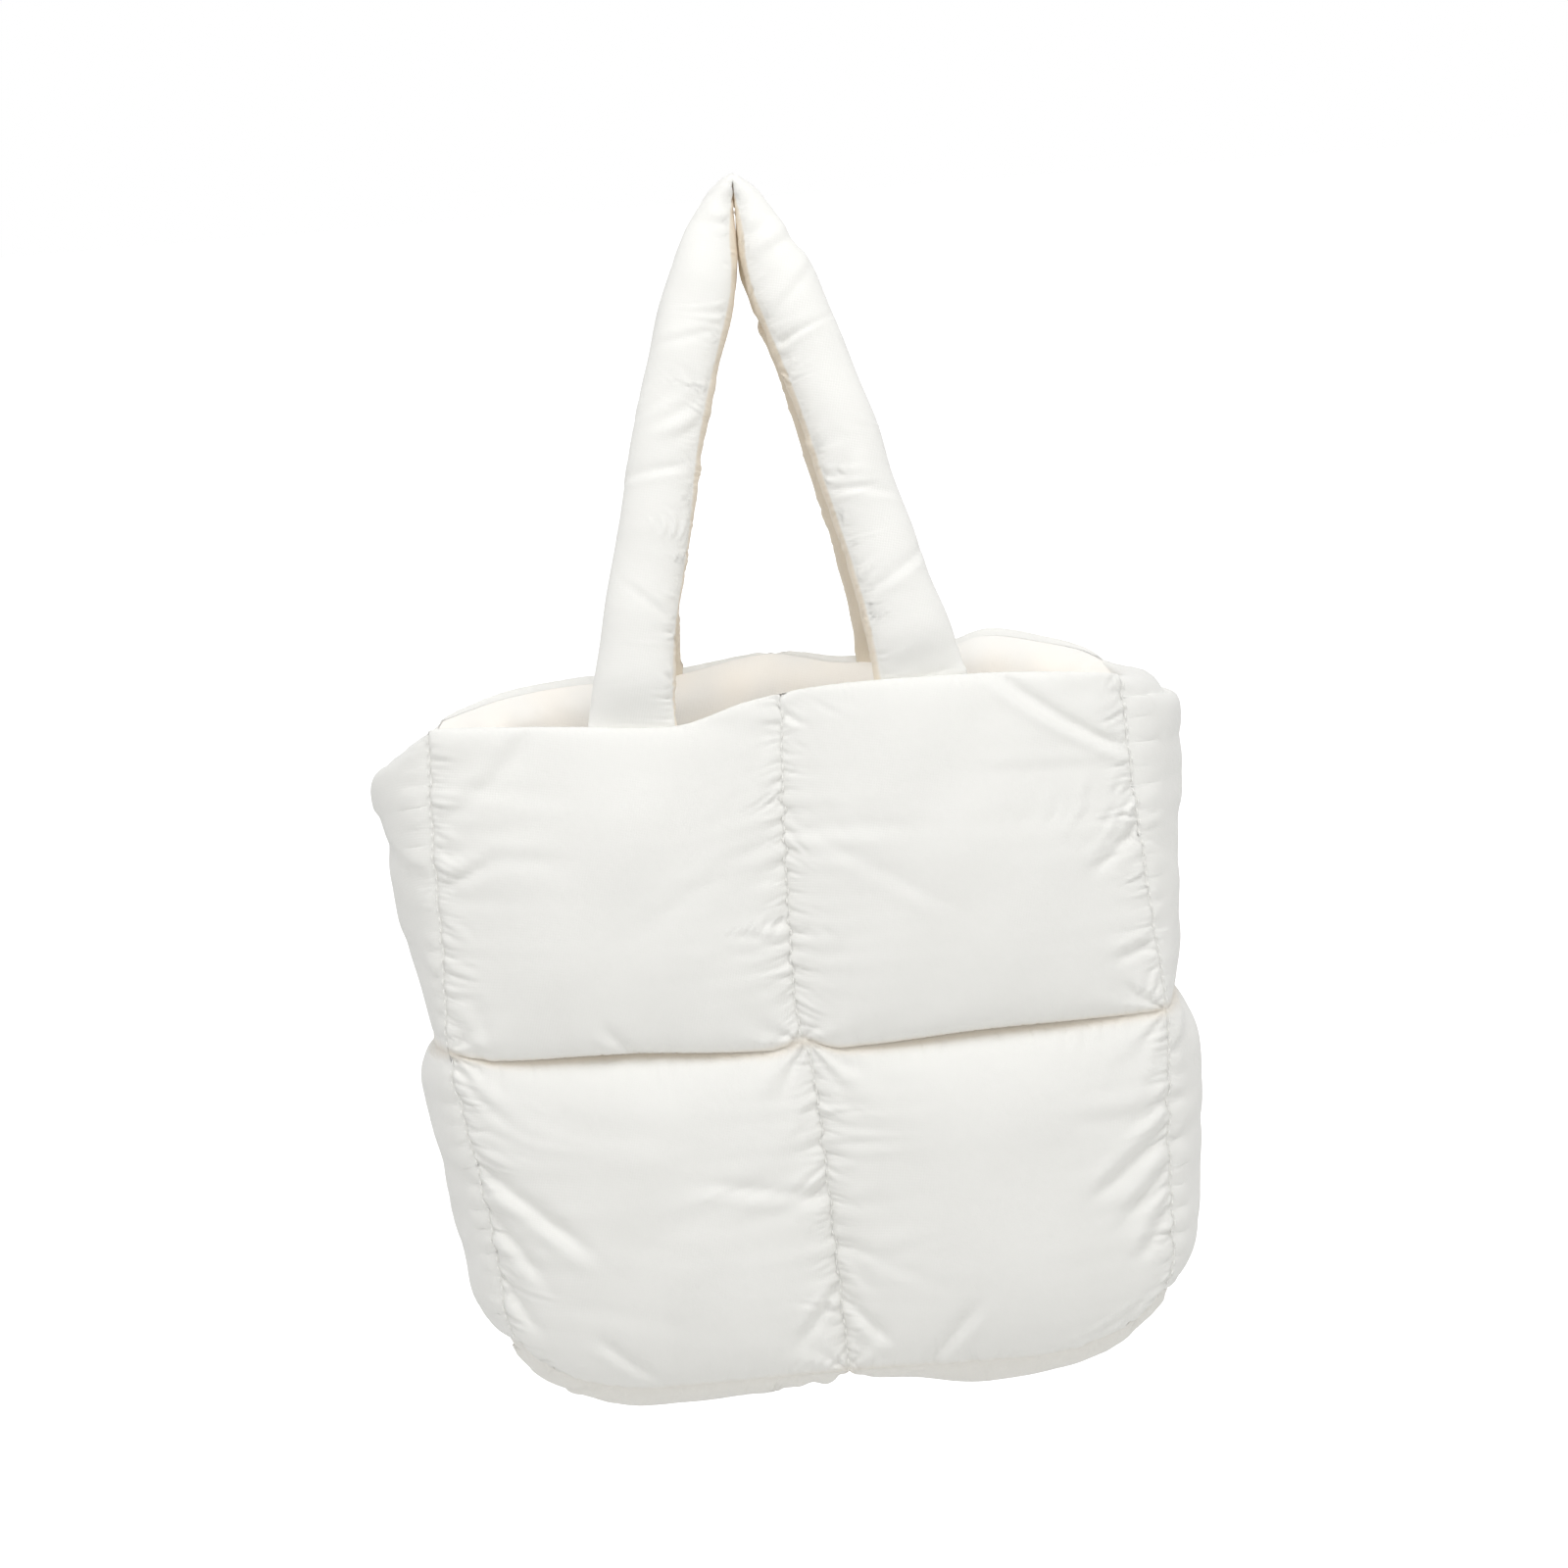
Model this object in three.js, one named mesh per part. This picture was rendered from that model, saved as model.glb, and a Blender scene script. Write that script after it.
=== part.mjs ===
// A quilted puffer tote bag, in the form it keeps while it hangs by its two padded handles.
// Millimetres, +Z up, the front faces -Y. The origin is the hanging point, under the fold of the handles.
// The body is one seam net: front and back panels joined by a strip that runs down one side,
// under the bag and up the other. Each padded piece is that net plus a puffed height on either side.
import * as THREE from 'three';

// Body, measured between seams
const BODY_WIDTH = 336;
const BODY_HEIGHT = 338;
const BODY_DEPTH = 100;
const LEVEL_SEAM_DROP = 168;
const CORNER_HEIGHT = 46;
const CORNER_WIDTH = 76;
const BODY_LEAN = 10;
const BACK_RIM_RISE = 4;
const LEFT_RIM_DIP = 14;
const RIGHT_RIM_DIP = 6;
const RIM_WAVE = 9;

// Padding, as heights above the seam net
const PANEL_CROWN = 23;
const PANEL_INNER_CROWN = 9;
const UPPER_GUSSET_CROWN = 21;
const LOWER_GUSSET_CROWN = 15;
const BASE_CROWN = 12;
const STRIP_INNER_CROWN = 5;
const STRIP_BOW = 9;
const SEAM_WALL = 2.4;
const GATHER_DEPTH = 2.2;

// Lining, handles and clearances
const LINING_WALL = 1.2;
const LINING_EASE = 3;
const HANDLE_DROP = 247.5;
const HANDLE_SPREAD = 148;
const HANDLE_WIDTH = 35;
const HANDLE_DEPTH = 26;
const HANDLE_END_WIDTH = 46;
const HANDLE_END_DEPTH = 14;
const BACK_HANDLE_TUCK = 7;
const FOLD_WALL = 5.4;
const FOLD_DEPTH = 17;
const PIECE_GAP = 0.3;

// Mesh fineness
const PUFF_COLUMNS = 12;
const UPPER_ROWS = 11;
const LOWER_ROWS = 7;
const CORNER_ROWS = 4;
const STRIP_COLUMNS = 8;
const LEG_SECTIONS = 11;
const TUBE_SIDES = 12;
const GATHERS_PER_PUFF = 4;

// Shape of a puff: how full its edges are, and how far its filling has settled downwards
const PUFF_FULLNESS = 0.52;
const UPPER_SETTLE = 1.35;
const LOWER_SETTLE = 1.1;
const PANEL_RIM_START = 0.035;
const GUSSET_RIM_START = 0.45;
const RIM_REACH = 0.36;

// Where the side seams and the centre seam run. down is a share of the height, half a share of
// half the width, lean and centre are shares of the lean, deep is a share of half the depth.
const SEAM_RUN = [
  { down: 0.0, half: 1.0, lean: 0.0, centre: 0.35, deep: 0.94 },
  { down: 0.16, half: 1.015, lean: 0.0, centre: 0.0, deep: 1.0 },
  { down: 0.32, half: 1.027, lean: 0.2, centre: -0.15, deep: 1.04 },
  { down: 0.47, half: 1.046, lean: 0.35, centre: -0.1, deep: 1.04 },
  { down: 0.53, half: 1.04, lean: 0.5, centre: 0.4, deep: 1.05 },
  { down: 0.68, half: 1.005, lean: 0.75, centre: 0.7, deep: 1.06 },
  { down: 0.83, half: 0.988, lean: 0.95, centre: 0.9, deep: 1.02 },
  { down: 1.0, half: 0.976, lean: 0.9, centre: 1.1, deep: 0.96 },
];

// Height of the front rim across the bag. across runs from -1 at the left seam to 1 at the right.
const RIM_LINE = [
  { across: -1.0, rise: 0.0 },
  { across: -0.6, rise: -0.6 },
  { across: -0.3, rise: -1.0 },
  { across: -0.1, rise: 0.1 },
  { across: 0.05, rise: 0.6 },
  { across: 0.55, rise: 0.55 },
  { across: 1.0, rise: 0.0 },
];

// Large folds of the front panel. Ends are given across (-1 to 1) and down (0 to 1).
// deep is a share of the panel's crown and wide a share of half the body's width.
const FRONT_FOLDS = [
  { across: 0.62, down: 0.04, toAcross: 0.97, toDown: 0.2, deep: 0.22, wide: 0.05 },
  { across: -0.97, down: 0.64, toAcross: -0.62, toDown: 0.88, deep: 0.2, wide: 0.06 },
  { across: 0.98, down: 0.66, toAcross: 0.76, toDown: 0.8, deep: 0.2, wide: 0.05 },
  { across: 0.0, down: 0.86, toAcross: -0.14, toDown: 0.97, deep: 0.22, wide: 0.05 },
  { across: 0.02, down: 0.86, toAcross: 0.2, toDown: 0.97, deep: 0.22, wide: 0.05 },
  { across: 0.97, down: 0.38, toAcross: 0.8, toDown: 0.44, deep: 0.16, wide: 0.05 },
];
const BACK_FOLDS = [
  { across: -0.95, down: 0.06, toAcross: -0.66, toDown: 0.18, deep: 0.18, wide: 0.05 },
  { across: 0.96, down: 0.68, toAcross: 0.68, toDown: 0.84, deep: 0.2, wide: 0.06 },
];

// A handle's leg from its end at the rim to the fold. up is a share of the drop, across a share
// of half the spread, wide a share of the handle's width.
const LEFT_LEG = [
  { up: 0.0, across: 0.945, wide: 1.25 },
  { up: 0.07, across: 0.92, wide: 1.14 },
  { up: 0.19, across: 0.845, wide: 1.02 },
  { up: 0.43, across: 0.645, wide: 1.0 },
  { up: 0.62, across: 0.478, wide: 0.98 },
  { up: 0.8, across: 0.275, wide: 0.95 },
  { up: 0.91, across: 0.175, wide: 0.65 },
  { up: 0.975, across: 0.08, wide: 0.38 },
];
const RIGHT_LEG = [
  { up: 0.0, across: 0.97, wide: 1.31 },
  { up: 0.07, across: 0.93, wide: 1.22 },
  { up: 0.19, across: 0.84, wide: 1.08 },
  { up: 0.4, across: 0.66, wide: 1.02 },
  { up: 0.6, across: 0.488, wide: 1.0 },
  { up: 0.8, across: 0.295, wide: 0.93 },
  { up: 0.91, across: 0.18, wide: 0.68 },
  { up: 0.975, across: 0.08, wide: 0.38 },
];

const HALF_WIDTH = BODY_WIDTH / 2;
const HALF_DEPTH = BODY_DEPTH / 2;
const SEAM_HALF_WALL = SEAM_WALL / 2;
const CLOTH = { cloth: 0xf1efea, lining: 0xe9e1d2 };

// A smooth curve through one column of a table, read at a value of its key column.
function readTable(table, key, column, value) {
  const last = table.length - 1;
  const at = THREE.MathUtils.clamp(value, table[0][key], table[last][key]);
  let i = 0;
  while (i < last - 1 && at > table[i + 1][key]) i += 1;
  const slope = (a, b) => (table[b][column] - table[a][column]) / (table[b][key] - table[a][key]);
  const span = table[i + 1][key] - table[i][key];
  const t = (at - table[i][key]) / span;
  const startSlope = slope(Math.max(i - 1, 0), i + 1) * span;
  const endSlope = slope(i, Math.min(i + 2, last)) * span;
  const p = table[i][column];
  const q = table[i + 1][column];
  const bend = 2 * (p - q) + startSlope + endSlope;
  const turn = 3 * (q - p) - 2 * startSlope - endSlope;
  return ((bend * t + turn) * t + startSlope) * t + p;
}

const smooth = (low, high, value) => THREE.MathUtils.smoothstep(value, low, high);
const cosineStep = (i, n) => (1 - Math.cos((Math.PI * i) / n)) / 2;
const range = (n) => Array.from({ length: n + 1 }, (_, i) => i);

// Rows of the seam net from the rim down. Below the straight side they follow the round corner.
function netRows() {
  const straight = BODY_HEIGHT - CORNER_HEIGHT;
  const rows = [];
  range(UPPER_ROWS).forEach((i) => rows.push({ down: LEVEL_SEAM_DROP * cosineStep(i, UPPER_ROWS), turn: 0 }));
  for (let i = 1; i <= LOWER_ROWS; i += 1) {
    const share = 1 - Math.cos((Math.PI / 2) * (i / LOWER_ROWS) ** 1.2);
    rows.push({ down: LEVEL_SEAM_DROP + (straight - LEVEL_SEAM_DROP) * share, turn: 0 });
  }
  for (let i = 1; i <= CORNER_ROWS; i += 1) {
    const turn = (Math.PI / 2) * (i / CORNER_ROWS);
    rows.push({ down: straight + CORNER_HEIGHT * Math.sin(turn), turn });
  }
  return rows.map(({ down, turn }) => {
    const share = down / BODY_HEIGHT;
    const inset = CORNER_WIDTH * (1 - Math.cos(turn));
    const half = HALF_WIDTH * readTable(SEAM_RUN, 'down', 'half', share) - inset;
    const lean = BODY_LEAN * readTable(SEAM_RUN, 'down', 'lean', share);
    return {
      down,
      turn,
      left: lean - half,
      right: lean + half,
      centre: BODY_LEAN * readTable(SEAM_RUN, 'down', 'centre', share),
      deep: HALF_DEPTH * readTable(SEAM_RUN, 'down', 'deep', share),
    };
  });
}

const ROWS = netRows();
const LAST_ROW = ROWS.length - 1;
const BASE_START = UPPER_ROWS + LOWER_ROWS + 1;

// Height of a net point. toBack runs from 0 at the front seam to 1 at the back seam.
function netHeight(down, toBack) {
  const fade = Math.max(0, 1 - down / LEVEL_SEAM_DROP) ** 2;
  return -HANDLE_DROP - down + BACK_RIM_RISE * toBack * fade;
}

function rimRise(across, down) {
  const fade = Math.max(0, 1 - down / (LEVEL_SEAM_DROP * RIM_REACH));
  return RIM_WAVE * readTable(RIM_LINE, 'across', 'rise', across) * fade;
}

const dome = (s) => Math.max(4 * s * (1 - s), 0) ** PUFF_FULLNESS;

// Puffed height of a cell, from 0 at its seams to 1 at its crown. start is how far into the dome
// its upper edge lies: 0 at a seam, more at the rim, which stays thick.
function puff(across, down, settle, start) {
  return dome(across) * dome(start + (1 - start) * down ** settle);
}

// How strongly a crease pulls the surface in at a point, from 0 to 1.
function foldPull(fold, across, down, aspect) {
  const run = new THREE.Vector2(fold.toAcross - fold.across, (fold.toDown - fold.down) * aspect);
  const to = new THREE.Vector2(across - fold.across, (down - fold.down) * aspect);
  const along = THREE.MathUtils.clamp(to.dot(run) / run.lengthSq(), 0, 1);
  const off = to.sub(run.multiplyScalar(along)).length();
  return Math.exp(-((off / fold.wide) ** 2));
}

// Small gathers that a seam draws into the puffs beside it.
function gather(along, fromSeam) {
  return 0.5 * (1 - Math.cos(2 * Math.PI * GATHERS_PER_PUFF * along)) * Math.exp(-fromSeam / 0.16);
}

// A closed body between two grids of the same size, an outer and an inner one.
function closedPad(outer, inner) {
  const rows = outer.length;
  const columns = outer[0].length;
  const points = [...outer.flat(), ...inner.flat()];
  const shift = rows * columns;
  const at = (i, j) => i * columns + j;
  const index = [];
  const quad = (a, b, c, d) => index.push(a, b, c, a, c, d);
  for (let i = 0; i < rows - 1; i += 1) {
    for (let j = 0; j < columns - 1; j += 1) {
      quad(at(i, j), at(i + 1, j), at(i + 1, j + 1), at(i, j + 1));
      quad(shift + at(i, j), shift + at(i, j + 1), shift + at(i + 1, j + 1), shift + at(i + 1, j));
    }
  }
  for (let j = 0; j < columns - 1; j += 1) {
    quad(at(0, j), at(0, j + 1), shift + at(0, j + 1), shift + at(0, j));
    quad(at(rows - 1, j), shift + at(rows - 1, j), shift + at(rows - 1, j + 1), at(rows - 1, j + 1));
  }
  for (let i = 0; i < rows - 1; i += 1) {
    quad(at(i, 0), shift + at(i, 0), shift + at(i + 1, 0), at(i + 1, 0));
    quad(at(i, columns - 1), at(i + 1, columns - 1), shift + at(i + 1, columns - 1), shift + at(i, columns - 1));
  }
  return facingOut(points, index);
}

// Geometry from points and triangles, turned so that its faces point out.
function facingOut(points, index) {
  let volume = 0;
  for (let i = 0; i < index.length; i += 3) {
    const [a, b, c] = [points[index[i]], points[index[i + 1]], points[index[i + 2]]];
    volume += a.dot(new THREE.Vector3().crossVectors(b, c));
  }
  if (volume < 0) index.reverse();
  const geometry = new THREE.BufferGeometry();
  geometry.setAttribute('position', new THREE.Float32BufferAttribute(points.flatMap((p) => p.toArray()), 3));
  geometry.setIndex(index);
  geometry.computeVertexNormals();
  return geometry;
}

// Outward direction of the strip at a row of the net, square to the oval corner. side is -1 on the
// left and 1 on the right.
function stripNormal(row, side) {
  const across = (side * Math.cos(row.turn)) / CORNER_WIDTH;
  return new THREE.Vector3(across, 0, -Math.sin(row.turn) / CORNER_HEIGHT).normalize();
}

// Direction in which a seam net point is thickened: the panel's own, turned to the seam's mitre at its edge.
function mitred(own, other, share) {
  const turned = other.clone().multiplyScalar(share);
  if (turned.length() > 1) turned.normalize();
  return turned.add(own).normalize();
}

// A front or back panel: two by two puffs inside the net's side, centre, level and lower seams.
function panelGeometry(facing, folds) {
  const toBack = facing < 0 ? 0 : 1;
  const own = new THREE.Vector3(0, facing, 0);
  const aspect = BODY_HEIGHT / HALF_WIDTH;
  const outer = [];
  const inner = [];
  ROWS.forEach((row) => {
    const upper = row.down <= LEVEL_SEAM_DROP;
    const cellTop = upper ? 0 : LEVEL_SEAM_DROP;
    const cellHeight = upper ? LEVEL_SEAM_DROP : BODY_HEIGHT - LEVEL_SEAM_DROP;
    const cellDown = (row.down - cellTop) / cellHeight;
    const outerRow = [];
    const innerRow = [];
    range(2 * PUFF_COLUMNS).forEach((j) => {
      const leftCell = j <= PUFF_COLUMNS;
      const cellAcross = leftCell
        ? cosineStep(j, PUFF_COLUMNS)
        : cosineStep(j - PUFF_COLUMNS, PUFF_COLUMNS);
      const from = leftCell ? row.left : row.centre;
      const to = leftCell ? row.centre : row.right;
      const across = leftCell ? cellAcross - 1 : cellAcross;
      const down = row.down / BODY_HEIGHT;
      const edge = row.right - row.left - 2 * PIECE_GAP;
      const x = row.left + PIECE_GAP + ((from + (to - from) * cellAcross - row.left) * edge) / (edge + 2 * PIECE_GAP);
      const rim = toBack ? 0 : rimRise(across, row.down);
      const bottomGap = PIECE_GAP * smooth(0.9, 1, down);
      const net = new THREE.Vector3(x, facing * row.deep, netHeight(row.down, toBack) + rim + bottomGap);
      const side = across < 0 ? -1 : 1;
      const turn = stripNormal(row, side).multiplyScalar(smooth(0.8, 1, Math.abs(across)));
      turn.z -= smooth(0.88, 1, down);
      const thick = mitred(own, turn, 1);
      const settle = upper ? UPPER_SETTLE : LOWER_SETTLE;
      const height = puff(cellAcross, cellDown, settle, upper ? PANEL_RIM_START : 0);
      const pulls = folds.map((fold) => fold.deep * foldPull(fold, across, down, aspect));
      const folded = Math.min(Math.max(0, ...pulls), 1);
      const drawn = GATHER_DEPTH * Math.max(
        gather(cellDown, 1 - Math.abs(2 * cellAcross - 1)),
        gather(cellAcross, 1 - Math.abs(2 * cellDown - 1)),
      );
      const out = Math.max(PANEL_CROWN * height * (1 - folded) - drawn * height, 0);
      outerRow.push(net.clone().addScaledVector(thick, SEAM_HALF_WALL + out));
      innerRow.push(net.clone().addScaledVector(thick, -SEAM_HALF_WALL - PANEL_INNER_CROWN * height));
    });
    outer.push(outerRow);
    inner.push(innerRow);
  });
  return closedPad(outer, inner);
}

// One cross row of the side and base strip, from the front seam to the back seam.
function stripRow(row, station, heights) {
  const outerRow = [];
  const innerRow = [];
  range(STRIP_COLUMNS).forEach((j) => {
    const cellAcross = cosineStep(j, STRIP_COLUMNS);
    const across = 2 * cellAcross - 1;
    const arch = 1 - across ** 2;
    const net = new THREE.Vector3(station.x, across * (row.deep - PIECE_GAP), netHeight(row.down, cellAcross));
    net.z -= station.dip * arch;
    net.addScaledVector(station.normal, STRIP_BOW * arch);
    const seam = new THREE.Vector3(0, Math.sign(across), 0);
    const thick = mitred(station.normal, seam, smooth(0.55, 1, Math.abs(across)));
    const side = puff(cellAcross, 0.5, 1, 0);
    outerRow.push(net.clone().addScaledVector(thick, SEAM_HALF_WALL + heights.outer * side));
    innerRow.push(net.clone().addScaledVector(thick, -SEAM_HALF_WALL - heights.inner * side));
  });
  return { outerRow, innerRow };
}

function stripGeometry(rows) {
  return closedPad(rows.map((r) => r.outerRow), rows.map((r) => r.innerRow));
}

// A side gusset: an upper and a lower puff, from the rim down to where the base begins.
function gussetGeometry(side, rimDip) {
  const seamBottom = ROWS[BASE_START].down;
  const rows = ROWS.slice(0, BASE_START + 1).map((row, i) => {
    const upper = row.down <= LEVEL_SEAM_DROP;
    const cellDown = upper
      ? row.down / LEVEL_SEAM_DROP
      : (row.down - LEVEL_SEAM_DROP) / (seamBottom - LEVEL_SEAM_DROP);
    const height = puff(0.5, cellDown, upper ? UPPER_SETTLE : LOWER_SETTLE, upper ? GUSSET_RIM_START : 0);
    const pulled = height * (1 - 0.06 * Math.cos(2 * Math.PI * GATHERS_PER_PUFF * cellDown));
    const crown = upper ? UPPER_GUSSET_CROWN : LOWER_GUSSET_CROWN;
    const fade = Math.max(0, 1 - row.down / (LEVEL_SEAM_DROP * RIM_REACH));
    const x = side < 0 ? row.left : row.right;
    const station = { x, normal: stripNormal(row, side), dip: rimDip * fade };
    const lifted = i === BASE_START ? { ...row, down: row.down - PIECE_GAP } : row;
    return stripRow(lifted, station, { outer: crown * pulled, inner: STRIP_INNER_CROWN * height });
  });
  return stripGeometry(rows);
}

// The base: from the left corner, along the bottom in two puffs, and up to the right corner.
function baseGeometry() {
  const corner = range(LAST_ROW - BASE_START).map((i) => ROWS[BASE_START + i]);
  const bottom = ROWS[LAST_ROW];
  const stations = [];
  corner.forEach((row) => stations.push({ row, x: row.left, normal: stripNormal(row, -1) }));
  for (let j = 1; j < 2 * PUFF_COLUMNS; j += 1) {
    const cell = j <= PUFF_COLUMNS ? [bottom.left, bottom.centre, j] : [bottom.centre, bottom.right, j - PUFF_COLUMNS];
    const x = cell[0] + (cell[1] - cell[0]) * cosineStep(cell[2], PUFF_COLUMNS);
    stations.push({ row: bottom, x, normal: new THREE.Vector3(0, 0, -1) });
  }
  [...corner].reverse().forEach((row) => stations.push({ row, x: row.right, normal: stripNormal(row, 1) }));
  const ends = [stations[0].x, stations[stations.length - 1].x];
  const rows = stations.map(({ row, x, normal }, i) => {
    const inLeft = x <= bottom.centre;
    const cellAcross = inLeft ? (x - ends[0]) / (bottom.centre - ends[0]) : (ends[1] - x) / (ends[1] - bottom.centre);
    const height = puff(Math.min(cellAcross, 1), 0.5, 1, 0);
    const atEnd = i === 0 || i === stations.length - 1;
    const placed = atEnd ? { ...row, down: row.down + PIECE_GAP } : row;
    const heights = { outer: BASE_CROWN * height, inner: STRIP_INNER_CROWN * height };
    return stripRow(placed, { x, normal, dip: 0 }, heights);
  });
  return stripGeometry(rows);
}

// How far the lining hangs inside the seam net at a row.
function liningInset(row) {
  const rim = Math.max(PANEL_INNER_CROWN * dome(PANEL_RIM_START), STRIP_INNER_CROWN * dome(GUSSET_RIM_START));
  const full = Math.max(PANEL_INNER_CROWN, STRIP_INNER_CROWN) + LINING_EASE;
  const inset = row.down === 0 ? rim + PIECE_GAP : full;
  return SEAM_HALF_WALL + inset;
}

// The ring of net points round the bag at a row, each with the direction towards the outside.
function liningRing(row, rimDips) {
  const ring = [];
  const wall = (facing, reverse) => {
    const toBack = facing < 0 ? 0 : 1;
    const steps = range(PUFF_COLUMNS).filter((i) => i % 2 === 0).map((i) => (2 * i) / PUFF_COLUMNS - 1);
    (reverse ? steps.reverse() : steps).forEach((across) => {
      const x = across < 0
        ? row.centre + (row.centre - row.left) * across
        : row.centre + (row.right - row.centre) * across;
      const rim = toBack ? 0 : rimRise(across, row.down);
      const side = stripNormal(row, Math.sign(across) || 1).multiplyScalar(Math.abs(across) === 1 ? 1 : 0);
      const own = new THREE.Vector3(0, facing, 0);
      const floor = new THREE.Vector3(0, 0, row.turn < Math.PI / 2 ? 0 : -1);
      const point = new THREE.Vector3(x, facing * row.deep, netHeight(row.down, toBack) + rim);
      ring.push({ point, direction: side.add(own).add(floor.multiplyScalar(Math.abs(across) === 1 ? 0 : 1)) });
    });
  };
  const flank = (side, dip) => {
    [-0.5, 0, 0.5].forEach((step) => {
      const across = step * side;
      const arch = 1 - across ** 2;
      const fade = Math.max(0, 1 - row.down / (LEVEL_SEAM_DROP * RIM_REACH));
      const normal = stripNormal(row, side);
      const point = new THREE.Vector3(side < 0 ? row.left : row.right, across * row.deep, 0);
      point.z = netHeight(row.down, (across + 1) / 2) - dip * arch * fade;
      point.addScaledVector(normal, STRIP_BOW * arch);
      ring.push({ point, direction: normal });
    });
  };
  wall(-1, false);
  flank(1, rimDips.right);
  wall(1, true);
  flank(-1, rimDips.left);
  return ring;
}

// The lining: a cloth bag, open at the rim, hung just inside the padding.
function liningGeometry(rimDips) {
  const rows = ROWS.filter((row, i) => i < 2 || i % 3 === 0 || i === LAST_ROW);
  const columns = liningRing(rows[0], rimDips).length;
  const points = [];
  [0, LINING_WALL].forEach((wall) => {
    rows.forEach((row) => {
      liningRing(row, rimDips).forEach(({ point, direction }) => {
        points.push(point.clone().addScaledVector(direction, -liningInset(row) - wall));
      });
    });
  });
  const shift = rows.length * columns;
  const at = (i, j) => i * columns + (j % columns);
  const index = [];
  const quad = (a, b, c, d) => index.push(a, b, c, a, c, d);
  for (let i = 0; i < rows.length - 1; i += 1) {
    for (let j = 0; j < columns; j += 1) {
      quad(at(i, j), at(i + 1, j), at(i + 1, j + 1), at(i, j + 1));
      quad(shift + at(i, j), shift + at(i, j + 1), shift + at(i + 1, j + 1), shift + at(i + 1, j));
    }
  }
  for (let j = 0; j < columns; j += 1) quad(at(0, j), at(0, j + 1), shift + at(0, j + 1), shift + at(0, j));
  liningFloor(points, index, at, rows.length - 1, shift);
  return facingOut(points, index);
}

// Closes the lower ring of the lining with a floor between its front and back edges.
function liningFloor(points, index, at, lastRow, shift) {
  const wallSteps = PUFF_COLUMNS / 2;
  const flankSteps = 4;
  [0, shift].forEach((offset) => {
    const node = (a, b) => {
      if (b === 0) return offset + at(lastRow, a);
      if (b === flankSteps) return offset + at(lastRow, 2 * wallSteps + flankSteps - a);
      if (a === wallSteps) return offset + at(lastRow, wallSteps + b);
      if (a === 0) return offset + at(lastRow, 2 * (wallSteps + flankSteps) - b);
      return inside[a][b];
    };
    const inside = range(wallSteps).map(() => []);
    for (let a = 1; a < wallSteps; a += 1) {
      for (let b = 1; b < flankSteps; b += 1) {
        const share = b / flankSteps;
        const arch = 1 - (2 * share - 1) ** 2;
        const point = points[node(a, 0)].clone().lerp(points[node(a, flankSteps)], share);
        point.z -= STRIP_BOW * arch;
        inside[a][b] = points.length;
        points.push(point);
      }
    }
    for (let a = 0; a < wallSteps; a += 1) {
      for (let b = 0; b < flankSteps; b += 1) {
        const corners = [node(a, b), node(a, b + 1), node(a + 1, b + 1), node(a + 1, b)];
        const [p, q, r, s] = offset ? corners.reverse() : corners;
        index.push(p, q, r, p, r, s);
      }
    }
  });
}

// Centres, widths and depths of a handle's sections, from its left end over the fold to its right end.
// The back handle's ends are sewn in nearer the middle by the tuck.
function handleSections(facing) {
  const foldCentre = facing * (FOLD_DEPTH / 2 + PIECE_GAP);
  const rimRow = ROWS[0];
  const toBack = facing < 0 ? 0 : 1;
  const tuck = BACK_HANDLE_TUCK * toBack;
  const leg = (table, side) => range(LEG_SECTIONS).map((i) => {
    const share = i / LEG_SECTIONS;
    const topUp = table[table.length - 1].up;
    const up = topUp * share;
    const reachX = (at) => (readTable(table, 'up', 'across', at) * HANDLE_SPREAD) / 2 - tuck * (1 - at);
    const endX = side * reachX(0);
    const halfSeam = side < 0 ? rimRow.centre - rimRow.left : rimRow.right - rimRow.centre;
    const reach = (HANDLE_END_WIDTH / 2) * 0.9;
    const rims = [-1, 0, 1].map((k) => rimRise((endX + k * reach - rimRow.centre) / halfSeam, 0));
    const rimTop = netHeight(0, toBack) + (toBack ? 0 : Math.max(...rims));
    const end = rimTop + PIECE_GAP;
    const atEnd = 1 - smooth(0, 0.25, share);
    const atFold = smooth(0.75, 1, share);
    const wide = HANDLE_WIDTH * readTable(table, 'up', 'wide', up);
    const endWide = THREE.MathUtils.lerp(wide, HANDLE_END_WIDTH, 1 - smooth(0, 0.08, share));
    const depth = THREE.MathUtils.lerp(HANDLE_DEPTH, HANDLE_END_DEPTH, atEnd);
    return {
      centre: new THREE.Vector3(
        side * reachX(up),
        THREE.MathUtils.lerp(facing * rimRow.deep, foldCentre, up),
        end * (1 - up),
      ),
      wide: endWide,
      deep: THREE.MathUtils.lerp(depth, FOLD_DEPTH, atFold),
    };
  });
  const fold = { centre: new THREE.Vector3(0, foldCentre, FOLD_WALL / 2), wide: FOLD_WALL, deep: FOLD_DEPTH };
  return [...leg(LEFT_LEG, -1), fold, ...leg(RIGHT_LEG, 1).reverse()];
}

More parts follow.
